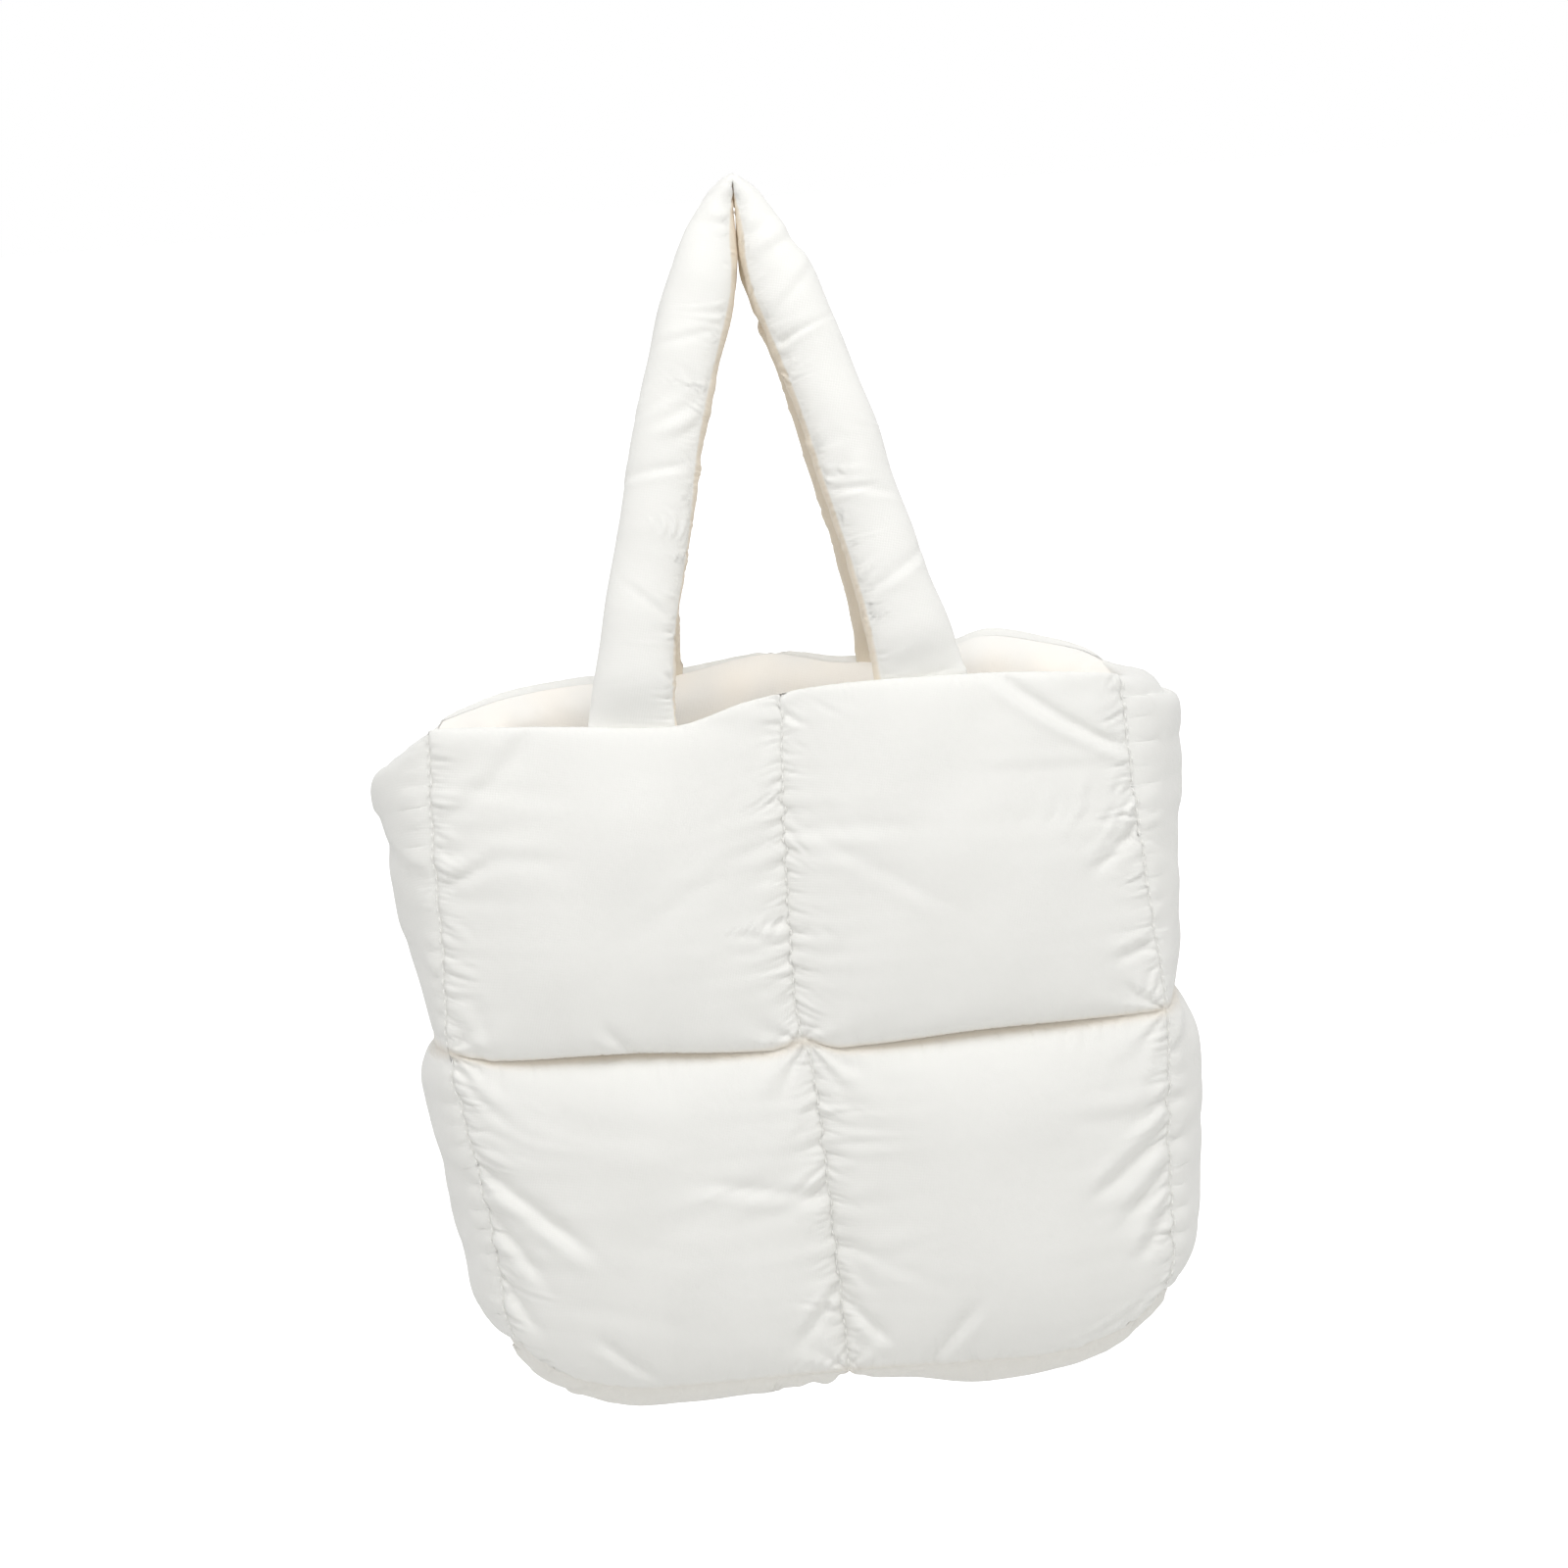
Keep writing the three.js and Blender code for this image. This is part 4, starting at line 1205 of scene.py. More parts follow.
    def even(self, p: Grid) -> Grid:
        """Evens out the ripples that run right across the strip, away from its seams.

        p + calm * (weighted mean of the rows round p - p), with calm fading to 0 at every seam.

        Args:
            p: the settled cloth.

        Returns:
            The evened cloth, with its seams and the folds beside them as they were.
        """
        size = self.sizes[-1]
        row = np.arange(len(p))
        first = np.where(row < size, 0, size)
        share = np.hanning(2 * self.calm_rows + 3)[1:-1]
        mean = np.zeros(p.shape)
        for step, part in enumerate(share / share.sum()):
            mean += part * p[np.clip(row + step - self.calm_rows, first, first + size)]
        along = row % size / size
        end = np.minimum(along, 1 - along) * self.half_length
        side = (1 - np.abs(np.linspace(-1, 1, p.shape[1]))) * self.half_width
        calm = self.calm * smooth(0.002, 0.011, end)[:, None] * smooth(0.003, 0.014, side)[None, :]
        return p + calm[..., None] * (mean - p)

    def build(self) -> bpy.types.Object:
        """Settles the outer cloth and closes it with a plain inner side."""
        outer = self.even(self.settling.settle(self.skin, self.sizes))
        net, normals = self.strip_net(self.sizes[-1])
        net, normals = net[::self.coarse, ::self.coarse], normals[::self.coarse, ::self.coarse]
        share = np.linspace(0, 1, net.shape[1])[None, :, None]
        depth = self.inner_gap + self.inner_crown * np.sqrt(4 * share * (1 - share))
        rows = np.arange(outer.shape[0]) / self.sizes[-1]
        to_level = np.abs(rows - 1) * self.half_length
        # Painted shade with its painted glow: over the whole strip by shaded, and along the level seam.
        warm = np.maximum(self.shaded, self.level_shade * np.exp(-((to_level / self.shade_reach) ** 2)))
        warm = np.broadcast_to(warm[:, None], outer.shape[:2])
        return self.declare(pad_object(self.node, outer, net - normals * depth, self.material, warm))


@dataclass
class Gusset(Strip):
    """A side of the bag, with an upper and a lower puff."""

    side: Side = Side.LEFT
    calm: float = 0.95
    rim_dip: float = 0.014
    end_turn: float = 0.39
    droop: float = 0.3

    def lines(self, size: int) -> tuple[Grid, Grid]:
        """The front and back side seams from the rim round the start of the lower corner."""
        both = []
        for facing in Facing:
            upper = self.net.side_line(self.side, facing, True, 0.0, size + 1)
            lower = self.net.side_line(self.side, facing, False, self.end_turn, size + 1)
            both.append(np.concatenate((upper, lower[1:])))
        return both[0], both[1]

    def outward(self, run: Grid) -> Grid:
        """Square to the seams, away from the bag."""
        return unit(np.stack((-run[:, 2], 0 * run[:, 1], run[:, 0]), axis=1) * self.side.value)

    def dip(self, mid: Grid) -> Grid:
        """The middle of the rim hangs below its corners."""
        return self.rim_dip * self.net.fade(-self.net.drop - mid[:, 2])

    def keep_apart(self, net: Grid, size: int) -> Callable[[Grid], None]:
        """As on the panels, the upper puff may hang a little over the lower one."""
        level, side = net[size, :, 2].astype(np.float32), net[..., 0].astype(np.float32)

        def clamp(p: Grid) -> None:
            """Clamps heights at the level seam."""
            divide = level[None, :] - self.droop * np.abs(p[..., 0] - side)
            np.maximum(p[:size, :, 2], divide[:size] + 0.1 * MM, out=p[:size, :, 2])
            np.minimum(p[size + 1:, :, 2], divide[size + 1:] - 0.1 * MM, out=p[size + 1:, :, 2])

        return clamp


@dataclass
class Base(Strip):
    """The strip under the bag, from one round corner to the other."""

    crown: tuple = (0.010, 0.010)
    # Painted shade over the whole underside.
    shaded: float = 0.12
    puckers: tuple = ((0.006, 0.007, 0.4), (0.0105, 0.013, 0.8), (0.023, 0.022, 0.8))
    rise: tuple = ((0.0, 0.08, 0.25, 0.6, 0.88, 1.0), (0.0, 0.55, 0.9, 1.0, 0.62, 0.0))
    low_rise: tuple = ((0.0, 0.12, 0.4, 0.75, 0.92, 1.0), (0.0, 0.62, 1.0, 0.9, 0.55, 0.0))
    start_turn: float = 0.39

    def lines(self, size: int) -> tuple[Grid, Grid]:
        """The lower seams from the left corner to the right one."""
        both = []
        for facing in Facing:
            left = self.net.foot_line(Side.LEFT, facing, self.start_turn, size + 1)
            right = self.net.foot_line(Side.RIGHT, facing, self.start_turn, size + 1)[::-1]
            both.append(np.concatenate((left, right[1:])))
        return both[0], both[1]

    def outward(self, run: Grid) -> Grid:
        """Square to the seams, down and away from the bag."""
        return unit(np.stack((run[:, 2], 0 * run[:, 1], -run[:, 0]), axis=1))


FRONT_HANDLE_FOLDS = (
    Fold((122, 36), (131, 10), 2.1, 0.9),
    Fold((58, 8), (70, 28), 1.9, 0.7),
    Fold((198, 8), (188, 26), 1.9, 0.7),
    Fold((330, 30), (342, 8), 2.1, 0.7),
    Fold((432, 8), (443, 30), 2.2, 0.8),
    Fold((484, 8), (474, 34), 2.4, 1.0),
)
BACK_HANDLE_FOLDS = (
    Fold((96, -8), (108, -30), 2.1, 0.8),
    Fold((210, -34), (198, -10), 2.1, 0.8),
    Fold((392, -8), (404, -32), 2.2, 0.8),
)


@dataclass
class Handle(PaddedPiece):
    """A padded tube from the rim, over the hanging point and back, seamed along its inner edge."""

    facing: Facing = Facing.FRONT
    slot: Slot = Slot.HANDLE
    spread: float = 0.148
    width: float = 0.035
    depth: float = 0.027
    girth_share: float = 2.9
    end_depth: float = 0.006
    fold_wall: float = 0.0054
    fold_depth: float = 0.017
    seam_turn: float = 0.62
    left_turn: float = 0.30
    top_turn: float = 0.2
    back_tuck: float = 0.0045
    gather: float = 0.022
    gather_reach: float = 0.007
    gathers: tuple = ((0.0055, 0.006, 0.38), (0.010, 0.010, 0.42), (0.023, 0.020, 0.4))
    key: int = 700
    sizes: tuple = (10, 20, 40)
    long_share: int = 7
    left_up: tuple = (0.0, 0.07, 0.19, 0.43, 0.62, 0.8, 0.86, 0.91, 0.975)
    left_across: tuple = (0.945, 0.92, 0.845, 0.645, 0.478, 0.272, 0.212, 0.168, 0.08)
    left_wide: tuple = (1.25, 1.14, 1.02, 1.0, 0.98, 0.96, 0.87, 0.70, 0.38)
    right_up: tuple = (0.0, 0.07, 0.19, 0.4, 0.6, 0.8, 0.86, 0.91, 0.975)
    right_across: tuple = (0.97, 0.93, 0.84, 0.66, 0.488, 0.268, 0.197, 0.160, 0.08)
    right_wide: tuple = (1.31, 1.22, 1.08, 1.02, 1.0, 0.95, 0.82, 0.67, 0.38)
    folds: tuple = ()

    def leg(self, side: Side, count: int) -> Grid:
        """Rows of centre, width and depth of a leg's sections, from the rim up to the fold."""
        net = self.net
        ups, acrosses, wides = (
            (self.left_up, self.left_across, self.left_wide)
            if side is Side.LEFT
            else (self.right_up, self.right_across, self.right_wide)
        )
        top = 1 + self.fold_wall / 2 / net.drop
        ups, acrosses, wides = (*ups, top), (*acrosses, 0.0), (*wides, self.fold_wall / self.width)
        up = np.linspace(0, top, 400)
        tuck = self.back_tuck if self.facing is Facing.BACK else 0.0
        across = self.spread / 2 * read_table(ups, acrosses, up)
        x = side.value * (across - tuck * (1 - np.minimum(up, 1.0)))
        share = side.value * self.spread / self.net.width
        rim = -net.drop + float(net.wave(np.array(share), np.array(0.0), self.facing))
        y0 = self.facing.value * float(net.deep(np.array(0.0)))
        fold_y = self.facing.value * (self.fold_depth / 2 + 0.3 * MM)
        y = y0 + (fold_y - y0) * np.minimum(up, 1.0)
        wide = self.width * read_table(ups, wides, up)
        deep = self.depth + (self.end_depth - self.depth) * (1 - smooth(0, 0.13, up)) ** 1.5
        deep = deep + (self.fold_depth - deep) * smooth(0.75, 1.0, up)
        return resample(np.stack((x, y, rim * (1 - up) + 0.0003, wide, deep), axis=1), count)

    def skin(self, size: int) -> Skin:
        """The tube's cloth: rows along the handle, columns round it from its seam."""
        count = self.long_share * size + 1
        table = np.concatenate((self.leg(Side.LEFT, count), self.leg(Side.RIGHT, count)[::-1][1:]))
        centre, wide, deep = table[:, :3], table[:, 3], table[:, 4]
        run = unit(np.gradient(centre, axis=0))
        run[0], run[-1] = (0, 0, 1), (0, 0, -1)
        out = unit(np.cross(run, np.array([0.0, 1.0, 0.0])))
        side = unit(np.cross(out, run))
        columns = 2 * size + 1
        up = 1 + centre[:, 2] / self.net.drop
        turn = self.seam_turn + self.top_turn * smooth(0.8, 0.93, up)
        turn = turn - self.left_turn * smooth(0.5, 0.3, up) * (centre[:, 0] < 0)
        seam = math.pi - self.facing.value * turn
        angle = seam[:, None] + np.linspace(0, 2 * math.pi, columns)[None, :]
        nearer = np.minimum(np.linspace(0, 1, columns), np.linspace(1, 0, columns))
        round_run = nearer * self.girth_share * self.width
        rows = len(centre)
        length = np.concatenate(([0.0], np.cumsum(np.linalg.norm(np.diff(centre, axis=0), axis=1))))
        along, away = np.broadcast_arrays(length[:, None], round_run[None, :])
        half = np.where(np.arange(columns) < size, 1, -1)
        lift = 0.0004 * Ripple(0.05, self.key + 90).over(along, away * half)
        key = self.key
        for pitch, reach, depth in self.gathers:
            key += 10
            wave = Pucker(pitch, reach, depth * MM, 0.5, key).lift(along, away)
            other = Pucker(pitch, reach, depth * MM, -0.5, key + 5).lift(along, away)
            lift = lift + np.where(half[None, :] > 0, wave, other)
        for fold in self.folds:
            lift = lift + fold.lift(along, np.broadcast_to(round_run * half, along.shape))
        ends = swell(np.minimum(length, length[-1] - length), 0.006, 1.0)
        lift = lift * swell(away, 0.002, 1.0) * ends[:, None]
        radius_out = (wide / 2)[:, None] * np.cos(angle) + lift * np.cos(angle)
        radius_side = (deep / 2)[:, None] * np.sin(angle) + lift * np.sin(angle)
        start = centre[:, None] + out[:, None] * radius_out[..., None]
        start = start + side[:, None] * radius_side[..., None]
        held = np.zeros((rows, columns), bool)
        middle = self.long_share * size
        held[[0, middle, -1]] = True
        held[:, [0, -1]] = True
        gather_down = 0.999 + self.gather * np.exp(-((away / self.gather_reach) ** 2))
        gather_across = np.full((rows, columns), 1.0)
        way = np.sum(grid_normals(start)[count // 2, size] * (start[count // 2, size] - centre[count // 2]))
        face = np.float32(self.facing.value)
        gap = np.float32(0.2 * MM)

        def clamp(p: Grid) -> None:
            """Keeps the legs on their own sides and clear of the other handle."""
            np.minimum(p[:middle, :, 0], -gap, out=p[:middle, :, 0])
            np.maximum(p[middle + 1:, :, 0], gap, out=p[middle + 1:, :, 0])
            p[..., 1] = face * np.maximum(face * p[..., 1], gap)

        stiff = 0.4 + 0.8 * smooth(0.005, 0.02, away)
        return Skin(start, held, gather_across, gather_down, np.ones((rows, columns)), stiff,
                    math.copysign(1.0, float(way)), clamp)

    def build(self) -> bpy.types.Object:
        """Settles the tube and closes its ends."""
        p = self.settling.settle(self.skin, self.sizes)[:, :-1]
        rows, columns = p.shape[:2]
        turn = 2 * math.pi * np.arange(columns) / columns
        turn = 2 * math.pi - turn if self.facing is Facing.FRONT else turn
        # Painted shade with its painted glow on the tube's inner face, beside its seam.
        inner_face_shade = 0.75 * smooth(0.0, 0.12, turn) * (1 - smooth(1.5, 2.3, turn))
        warm = np.concatenate((np.broadcast_to(inner_face_shade, (rows, columns)).ravel(), (0.0, 0.0)))
        hubs = np.stack((p[0].mean(axis=0), p[-1].mean(axis=0)))
        ring = np.arange(columns)
        after = np.roll(ring, -1)
        last = (rows - 1) * columns
        hub = np.full(columns, rows * columns)
        caps = [np.stack((ring, after, hub), axis=1)]
        caps.append(np.stack((last + after, last + ring, hub + 1), axis=1))
        points = np.concatenate((p.reshape(-1, 3), hubs))
        faces = [quads(rows, columns, wrap=True), *caps]
        return self.declare(mesh_object(self.node, points, faces, self.material, warm))


@dataclass
class Lining:
    """The cloth bag inside, open at the rim."""

    net: SeamNet
    material: bpy.types.Material
    wall: float = 0.0012
    inset: float = 0.0136
    rim_inset: float = 0.0011
    turn_in: float = 0.0065
    flank_dip: tuple = (0.014, 0.006)
    fold_depth: float = 0.004
    fold_drop: float = 0.055
    fold_start: float = 0.012
    wall_pitch: float = 0.028
    flank_pitch: float = 0.024
    fold_most: float = 1.6
    rows: int = 72
    rim_share: float = 1.7
    wall_steps: int = 144
    flank_steps: int = 56
    # Painted light on the lining: the mean share of its warm tint and glow, how much it changes and at what
    # pitch.
    warm: float = 0.45
    painted_shading_change: float = 0.22
    painted_shading_pitch: float = 0.035

    def ring(self, down: Grid, inset: Grid, extra: float) -> Grid:
        """Rings of points round the bag, drawn inwards from the seam net.

        Args:
            down: (rows,) metres below the rim.
            inset: (rows,) metres inside the seam net.
            extra: further metres inside, for the other side of the cloth.

        Returns:
            (rows, columns, 3) points: front wall, right flank, back wall, left flank.
        """
        net = self.net
        straight = net.height - net.corner
        turn = np.arcsin(np.clip((down - straight) / net.corner, 0.0, 1.0))[:, None]
        fall, tuck = down[:, None], self.fold_depth * np.exp(-down / self.fold_drop)[:, None]
        tuck = tuck * smooth(0.0, self.fold_start, fall)
        reach = net.half(fall) - net.corner_width * (1 - np.cos(turn))
        middle, deep = net.middle(fall), net.deep(fall)
        share = np.linspace(-1, 1, self.wall_steps + 1)[None, :]
        w = np.linspace(-1, 1, self.flank_steps + 1)[None, 1:-1]
        parts = []
        for facing in Facing:
            near_side = 0.25 + 0.75 * smooth(0.55, 0.95, np.abs(share))
            ripple = Ripple(self.wall_pitch, 41 + facing.value)
            folds = 0.5 + 0.5 * ripple.over(share * net.width / 2 + 0 * fall, 0.35 * fall)
            draw = inset[:, None] + extra + tuck * near_side * np.clip(folds, 0.0, self.fold_most)
            x = middle + share * (reach - (inset[:, None] + extra) * np.cos(turn))
            z = -net.drop - fall + net.wave(share + 0 * fall, fall + 0 * share, facing)
            z = z + draw * np.sin(turn)
            parts.append(np.stack((x, facing.value * (deep - draw), z), axis=-1))
        parts[1] = parts[1][:, ::-1]
        flanks = []
        for side in (Side.RIGHT, Side.LEFT):
            arch = 1 - w**2
            ripple = Ripple(self.flank_pitch, 45 + side.value)
            folds = 0.5 + 0.5 * ripple.over(w * net.depth / 2 + 0 * fall, 0.3 * fall)
            draw = inset[:, None] + extra + 1.5 * tuck * arch * np.clip(folds, 0.0, self.fold_most)
            x = middle + side.value * (reach - draw * np.cos(turn) + net.bow * arch * np.cos(turn))
            corner = [net.wave(np.array(side.value), fall, facing) for facing in Facing]
            z = -net.drop - fall + corner[0] * (1 - w) / 2 + corner[1] * (1 + w) / 2 + draw * np.sin(turn)
            dip = self.flank_dip[(side.value + 1) // 2]
            z = z - net.bow * arch * np.sin(turn) - dip * arch * net.fade(fall)
            flank = np.stack((x, w * (deep - inset[:, None] - extra), z), axis=-1)
            flanks.append(flank if side is Side.RIGHT else flank[:, ::-1])
        return np.concatenate((parts[0], flanks[0], parts[1], flanks[1]), axis=1)

    def floor_grid(self, last: Grid) -> Grid:
        """The floor between the lowest ring's front and back walls, bowed down."""
        n, m = self.wall_steps + 1, self.flank_steps
        front, back = last[:n], last[n + m - 1: 2 * n + m - 1][::-1]
        right, left = last[n: n + m - 1], last[2 * n + m - 1:][::-1]
        share = np.linspace(0, 1, m + 1)[:, None, None]
        floor = front[None] * (1 - share) + back[None] * share
        floor[..., 2] -= 0.8 * self.net.bow * (1 - (2 * share[..., 0] - 1) ** 2)
        floor[0], floor[-1] = front, back
        floor[1:-1, -1], floor[1:-1, 0] = right, left
        return floor

    def build(self) -> bpy.types.Object:
        """The closed cloth wall: outer and inner side, joined round the rim."""
        n, m = self.wall_steps + 1, self.flank_steps
        down = np.linspace(0, 1, self.rows) ** self.rim_share * self.net.height
        inset = self.rim_inset + (self.inset - self.rim_inset) * (1 - np.exp(-down / self.turn_in))
        points, faces, rims, shift = [], [], [], 0
        for k, extra in enumerate((0.0, self.wall)):
            grid = self.ring(down, inset, extra)
            rows, columns = grid.shape[:2]
            floor = self.floor_grid(grid[-1])
            last = shift + (rows - 1) * columns
            number = np.empty(floor.shape[:2], int)
            number[0] = last + np.arange(n)
            number[-1] = last + (2 * n + m - 2) - np.arange(n)
            number[1:-1, -1] = last + n + np.arange(m - 1)
            number[1:-1, 0] = last + columns - 1 - np.arange(m - 1)
            inside = floor[1:-1, 1:-1]
            within = np.arange(inside[..., 0].size).reshape(inside.shape[:2])
            number[1:-1, 1:-1] = shift + rows * columns + within
            corners = (number[:-1, :-1], number[1:, :-1], number[1:, 1:], number[:-1, 1:])
            both = [quads(rows, columns, shift, wrap=True), np.stack(corners, axis=-1).reshape(-1, 4)]
            faces += both if k == 0 else [group[:, ::-1] for group in both]
            points += [grid.reshape(-1, 3), inside.reshape(-1, 3)]
            rims.append(shift + np.arange(columns))
            shift += rows * columns + inside[..., 0].size
        outer, inner = rims
        faces.append(np.stack((outer, np.roll(outer, -1), np.roll(inner, -1), inner), axis=1))
        cloud = np.concatenate(points)
        # Painted light: an uneven share of warm tint and glow all over the lining.
        clouded = Ripple(self.painted_shading_pitch, 47).over(cloud[:, 0], cloud[:, 2])
        warm = np.clip(self.warm + self.painted_shading_change * clouded, 0.0, 1.0)
        obj = mesh_object("lining", cloud, faces, self.material, warm)
        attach(obj, "root")
        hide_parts("lining")
        LOG.info("%s: %d faces", obj.name, len(obj.data.polygons))
        return obj


@dataclass
class Stitches:
    """The thread along the upright seams of one panel."""

    net: SeamNet
    facing: Facing
    material: bpy.types.Material
    pitch: float = 0.0050
    length: float = 0.0031
    radius: float = 0.00048
    proud: float = 0.0012
    corner_turn: float = 0.39
    spots: int = 400
    profile: tuple = (-1.0, -0.8, 0.0, 0.8, 1.0)
    sides: int = 6

    def lines(self) -> list[tuple[Grid, Grid]]:
        """Seam lines with the direction in which the thread lies proud of each."""
        face = np.array([0.0, self.facing.value, 0.0])
        found = []
        for side in Side:
            proud = unit(face + np.array([side.value * 0.9, 0.0, 0.0]))
            for upper in (True, False):
                line = self.net.side_line(side, self.facing, upper, self.corner_turn, self.spots)
                found.append((line, proud))
        for upper in (True, False):
            found.append((self.net.centre_line(self.facing, upper, self.spots), face))
        return found

    def stitch(self) -> tuple[Grid, Grid]:
        """A round-ended thread along X: a short tube of rings on a half-ellipse profile."""
        t = np.array(self.profile)
        radius = self.radius * np.sqrt(np.maximum(1 - np.abs(t) ** 3, 0.02))
        turn = np.linspace(0, 2 * math.pi, self.sides, endpoint=False)
        x = np.repeat(t * self.length / 2, self.sides)
        y = (radius[:, None] * np.cos(turn)[None, :]).ravel()
        z = (radius[:, None] * np.sin(turn)[None, :]).ravel()
        return np.stack((x, y, z), axis=1), quads(len(t), self.sides, wrap=True)

    def build(self) -> bpy.types.Object:
        """All stitches of the panel, joined in one mesh."""
        body, tube = self.stitch()
        last = (len(self.profile) - 1) * self.sides
        ends = [np.arange(self.sides), np.arange(self.sides)[::-1] + last]
        points, tubes, caps, shift = [], [], [], 0
        for line, proud in self.lines():
            length = float(np.linalg.norm(np.diff(line, axis=0), axis=1).sum())
            place = resample(line, max(2, int(length / self.pitch)))[1:-1]
            run = unit(np.gradient(place, axis=0))
            side = unit(np.cross(run, proud))
            up = np.cross(side, run)
            axes = np.stack((run, side, up), axis=1)
            cloud = place[:, None] + proud * self.proud + np.einsum("pk,nkd->npd", body, axes)
            points.append(cloud.reshape(-1, 3))
            for _ in place:
                tubes.append(tube + shift)
                caps += [ends[0] + shift, ends[1] + shift]
                shift += len(body)
        name = f"{self.facing.name.lower()}_stitches"
        faces = [np.concatenate(tubes), np.stack(caps)]
        obj = mesh_object(name, np.concatenate(points), faces, self.material)
        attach(obj, "root")
        LOG.info("%s: %d faces", obj.name, len(obj.data.polygons))
        return obj


# The studio


@dataclass(frozen=True)
class SoftLight:
    """A rectangular soft light that faces a target."""

    name: str
    place: tuple
    size: tuple
    power: float
    target: tuple

    def add(self) -> None:
        """Adds the light to the scene."""
        data = bpy.data.lights.new(self.name, "AREA")
        data.shape = "RECTANGLE"
        data.size, data.size_y = self.size
        data.energy = self.power
        lamp = bpy.data.objects.new(self.name, data)
        lamp.location = self.place
        way = Vector(self.target) - Vector(self.place)
        lamp.rotation_euler = way.to_track_quat("-Z", "Y").to_euler()
        bpy.context.scene.collection.objects.link(lamp)


KEY_LIGHT = SoftLight(
    name="key_light", place=(0.08, -0.85, 0.9), size=(1.1, 0.7), power=8.9, target=(0, 0, -0.3)
)
MOUTH_LIGHT = SoftLight(
    name="mouth_light", place=(0.1, 0.9, 1.5), size=(1.2, 0.8), power=0.8, target=(0, 0, -0.25)
)


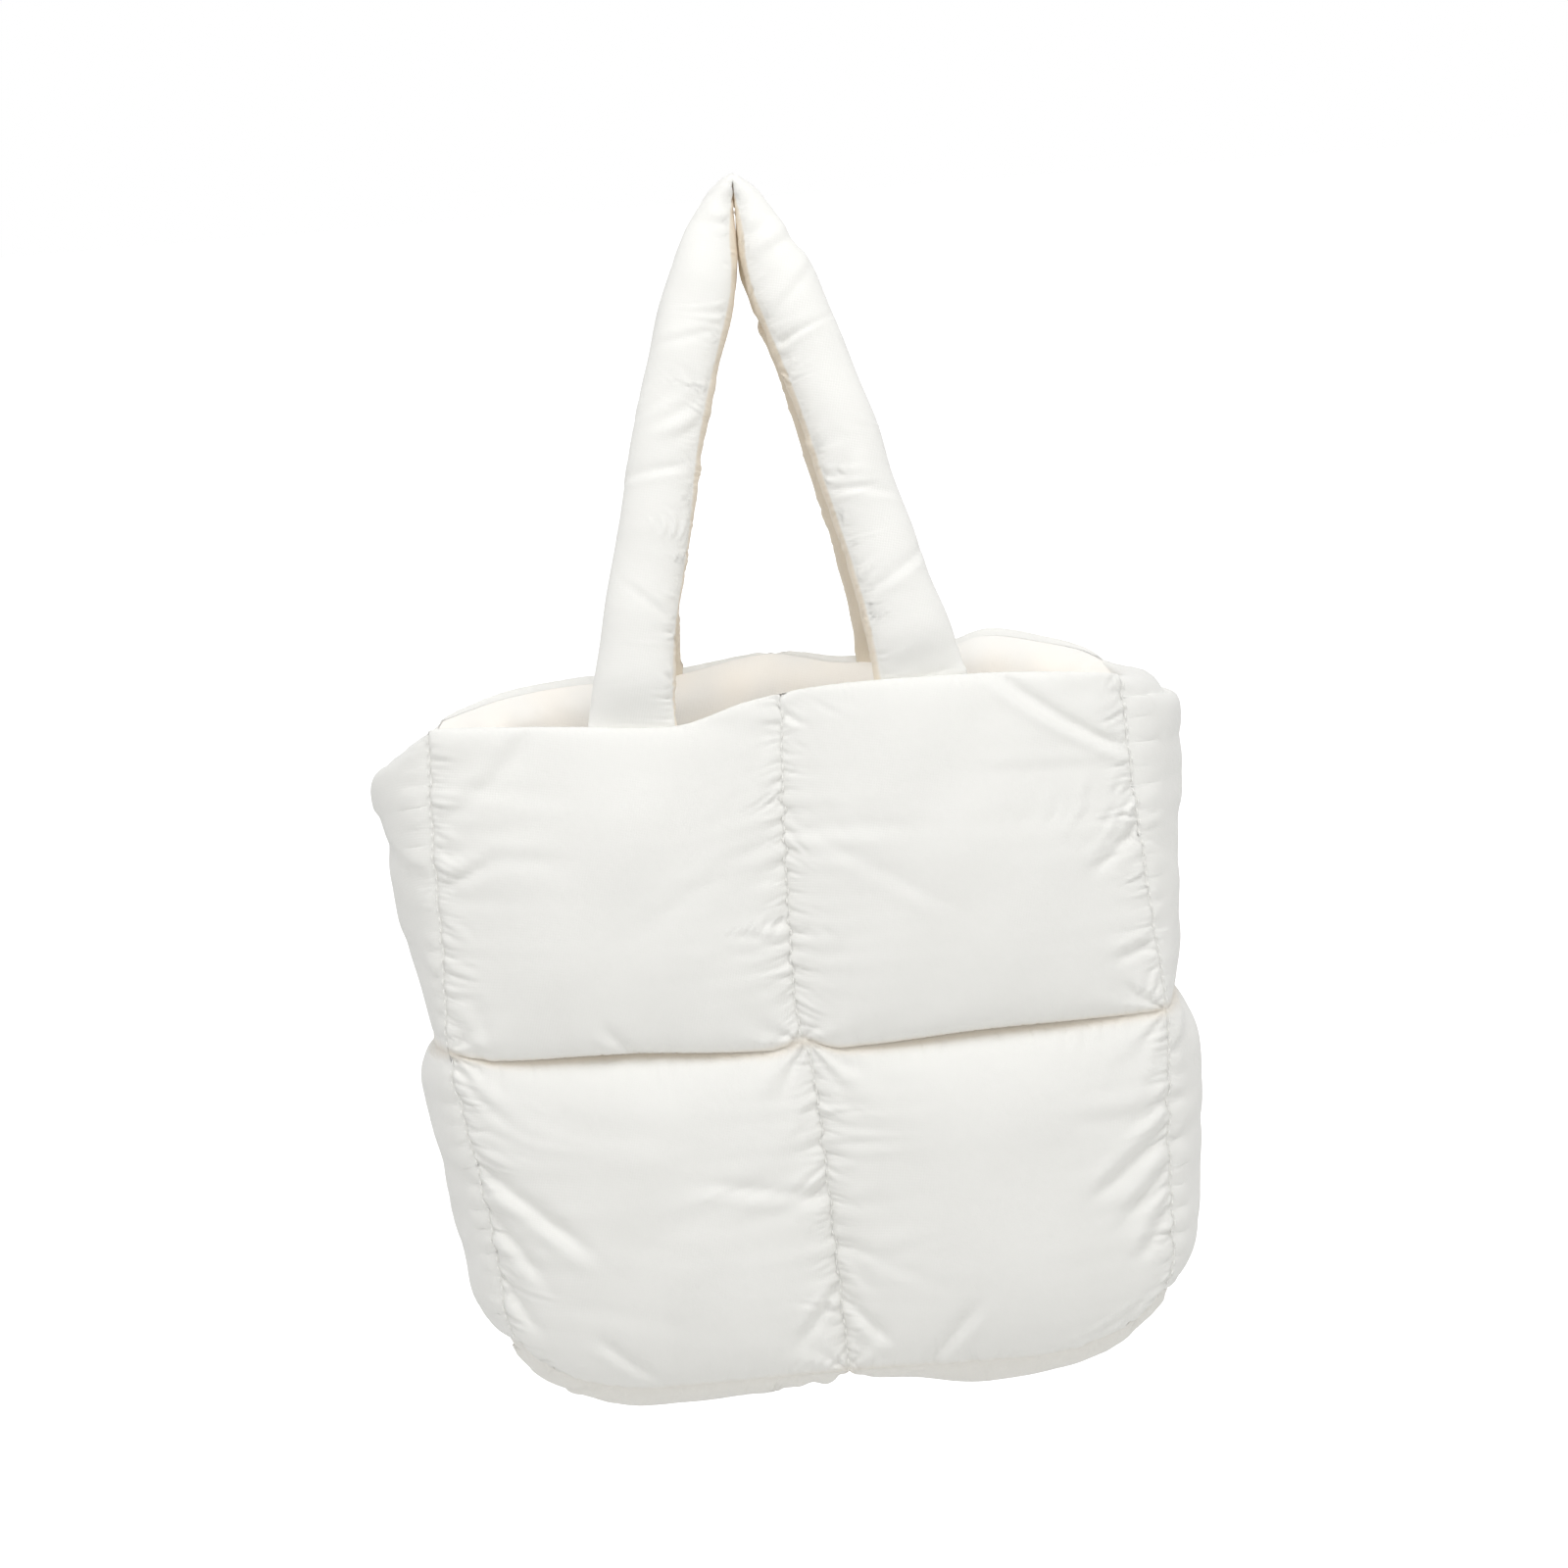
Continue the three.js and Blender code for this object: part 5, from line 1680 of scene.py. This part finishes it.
@dataclass(frozen=True)
class Studio:
    """Camera, lights and floor for a plain white studio."""

    azimuth: float = -1.0
    elevation: float = 9.0
    roll: float = 4.5
    distance: float = 2.2
    aim: tuple = (0.0023, 0.0, -0.296)
    frame_width: float = 0.780
    floor_gap: float = 0.16
    floor_reach: float = 30.0
    surround: float = 0.75
    lamps: tuple = (KEY_LIGHT, MOUTH_LIGHT)
    sensor: float = 36.0
    floor_color: tuple = (0.80, 0.80, 0.79)
    floor_glow: float = 0.9

    def camera(self) -> None:
        """A camera on the aim point, rolled so that the bag leans as it hangs in the picture."""
        data = bpy.data.cameras.new("camera")
        data.sensor_width = self.sensor
        data.lens = data.sensor_width * self.distance / self.frame_width
        cam = bpy.data.objects.new("camera", data)
        bpy.context.scene.collection.objects.link(cam)
        a, e = math.radians(self.azimuth), math.radians(self.elevation)
        back = Vector((math.sin(a) * math.cos(e), -math.cos(a) * math.cos(e), math.sin(e)))
        turn = (-back).to_track_quat("-Z", "Y").to_matrix()
        turn = turn @ Matrix.Rotation(math.radians(-self.roll), 3, "Z")
        cam.matrix_world = Matrix.Translation(Vector(self.aim) + back * self.distance) @ turn.to_4x4()
        bpy.context.scene.camera = cam

    def lights(self) -> None:
        """Pale surroundings that look white to the camera, and the soft lights."""
        scene = bpy.context.scene
        scene.view_settings.view_transform = "Standard"
        world = bpy.data.worlds.new("studio")
        world.use_nodes = True
        tree = world.node_tree
        dim = tree.nodes["Background"]
        dim.inputs["Color"].default_value = (1.0, 1.0, 1.0, 1)
        dim.inputs["Strength"].default_value = self.surround
        white = tree.nodes.new("ShaderNodeBackground")
        white.inputs["Color"].default_value = (1.0, 1.0, 1.0, 1)
        path = tree.nodes.new("ShaderNodeLightPath")
        seen = tree.nodes.new("ShaderNodeMixShader")
        tree.links.new(path.outputs["Is Camera Ray"], seen.inputs[0])
        tree.links.new(dim.outputs[0], seen.inputs[1])
        tree.links.new(white.outputs[0], seen.inputs[2])
        tree.links.new(seen.outputs[0], tree.nodes["World Output"].inputs["Surface"])
        scene.world = world
        for lamp in self.lamps:
            lamp.add()

    def floor(self) -> None:
        """A pale floor below the bag."""
        z = CAD_BOX[0][2] - self.floor_gap
        reach = self.floor_reach
        corners = np.array([[-reach, -reach, z], [reach, -reach, z], [reach, reach, z], [-reach, reach, z]])
        mesh = bpy.data.meshes.new("floor")
        mesh.from_pydata(corners.tolist(), [], [(0, 1, 2, 3)])
        material = bpy.data.materials.new("floor_white")
        material.use_nodes = True
        tree = material.node_tree
        shader = tree.nodes["Principled BSDF"]
        shader.inputs["Base Color"].default_value = (*self.floor_color, 1)
        shader.inputs["Roughness"].default_value = 0.9
        shader.inputs["Specular IOR Level"].default_value = 0.0
        shader.inputs["Emission Color"].default_value = (1, 1, 1, 1)
        path = tree.nodes.new("ShaderNodeLightPath")
        glow = tree.nodes.new("ShaderNodeMath")
        glow.operation = "MULTIPLY"
        glow.inputs[1].default_value = self.floor_glow
        tree.links.new(path.outputs["Is Camera Ray"], glow.inputs[0])
        tree.links.new(glow.outputs["Value"], shader.inputs["Emission Strength"])
        mesh.materials.append(material)
        obj = bpy.data.objects.new("floor", mesh)
        bpy.context.scene.collection.objects.link(obj)


def main() -> None:
    """Builds the studio, then every piece of the bag in order."""
    logging.basicConfig(level=logging.INFO, format="%(name)s %(message)s")
    studio = Studio()
    studio.camera()
    studio.lights()
    studio.floor()
    net = SeamNet()
    shell, lining = SHELL.material(), LINING.material()
    PuffPanel(net, "front_panel", shell, facing=Facing.FRONT).build()
    PuffPanel(net, "back_panel", shell, facing=Facing.BACK, folds=BACK_FOLDS, key=200).build()
    Gusset(net, "left_gusset", shell, side=Side.LEFT, rim_dip=0.014, folds=LEFT_FOLDS).build()
    Gusset(net, "right_gusset", shell, side=Side.RIGHT, rim_dip=0.006, folds=RIGHT_FOLDS, key=350).build()
    Base(net, "base_panel", shell, key=500).build()
    Handle(net, "front_handle", shell, facing=Facing.FRONT, folds=FRONT_HANDLE_FOLDS).build()
    Handle(net, "back_handle", shell, facing=Facing.BACK, folds=BACK_HANDLE_FOLDS, key=800).build()
    Lining(net, lining).build()
    for facing in Facing:
        Stitches(net, facing, shell).build()


if __name__ == "__main__":
    main()
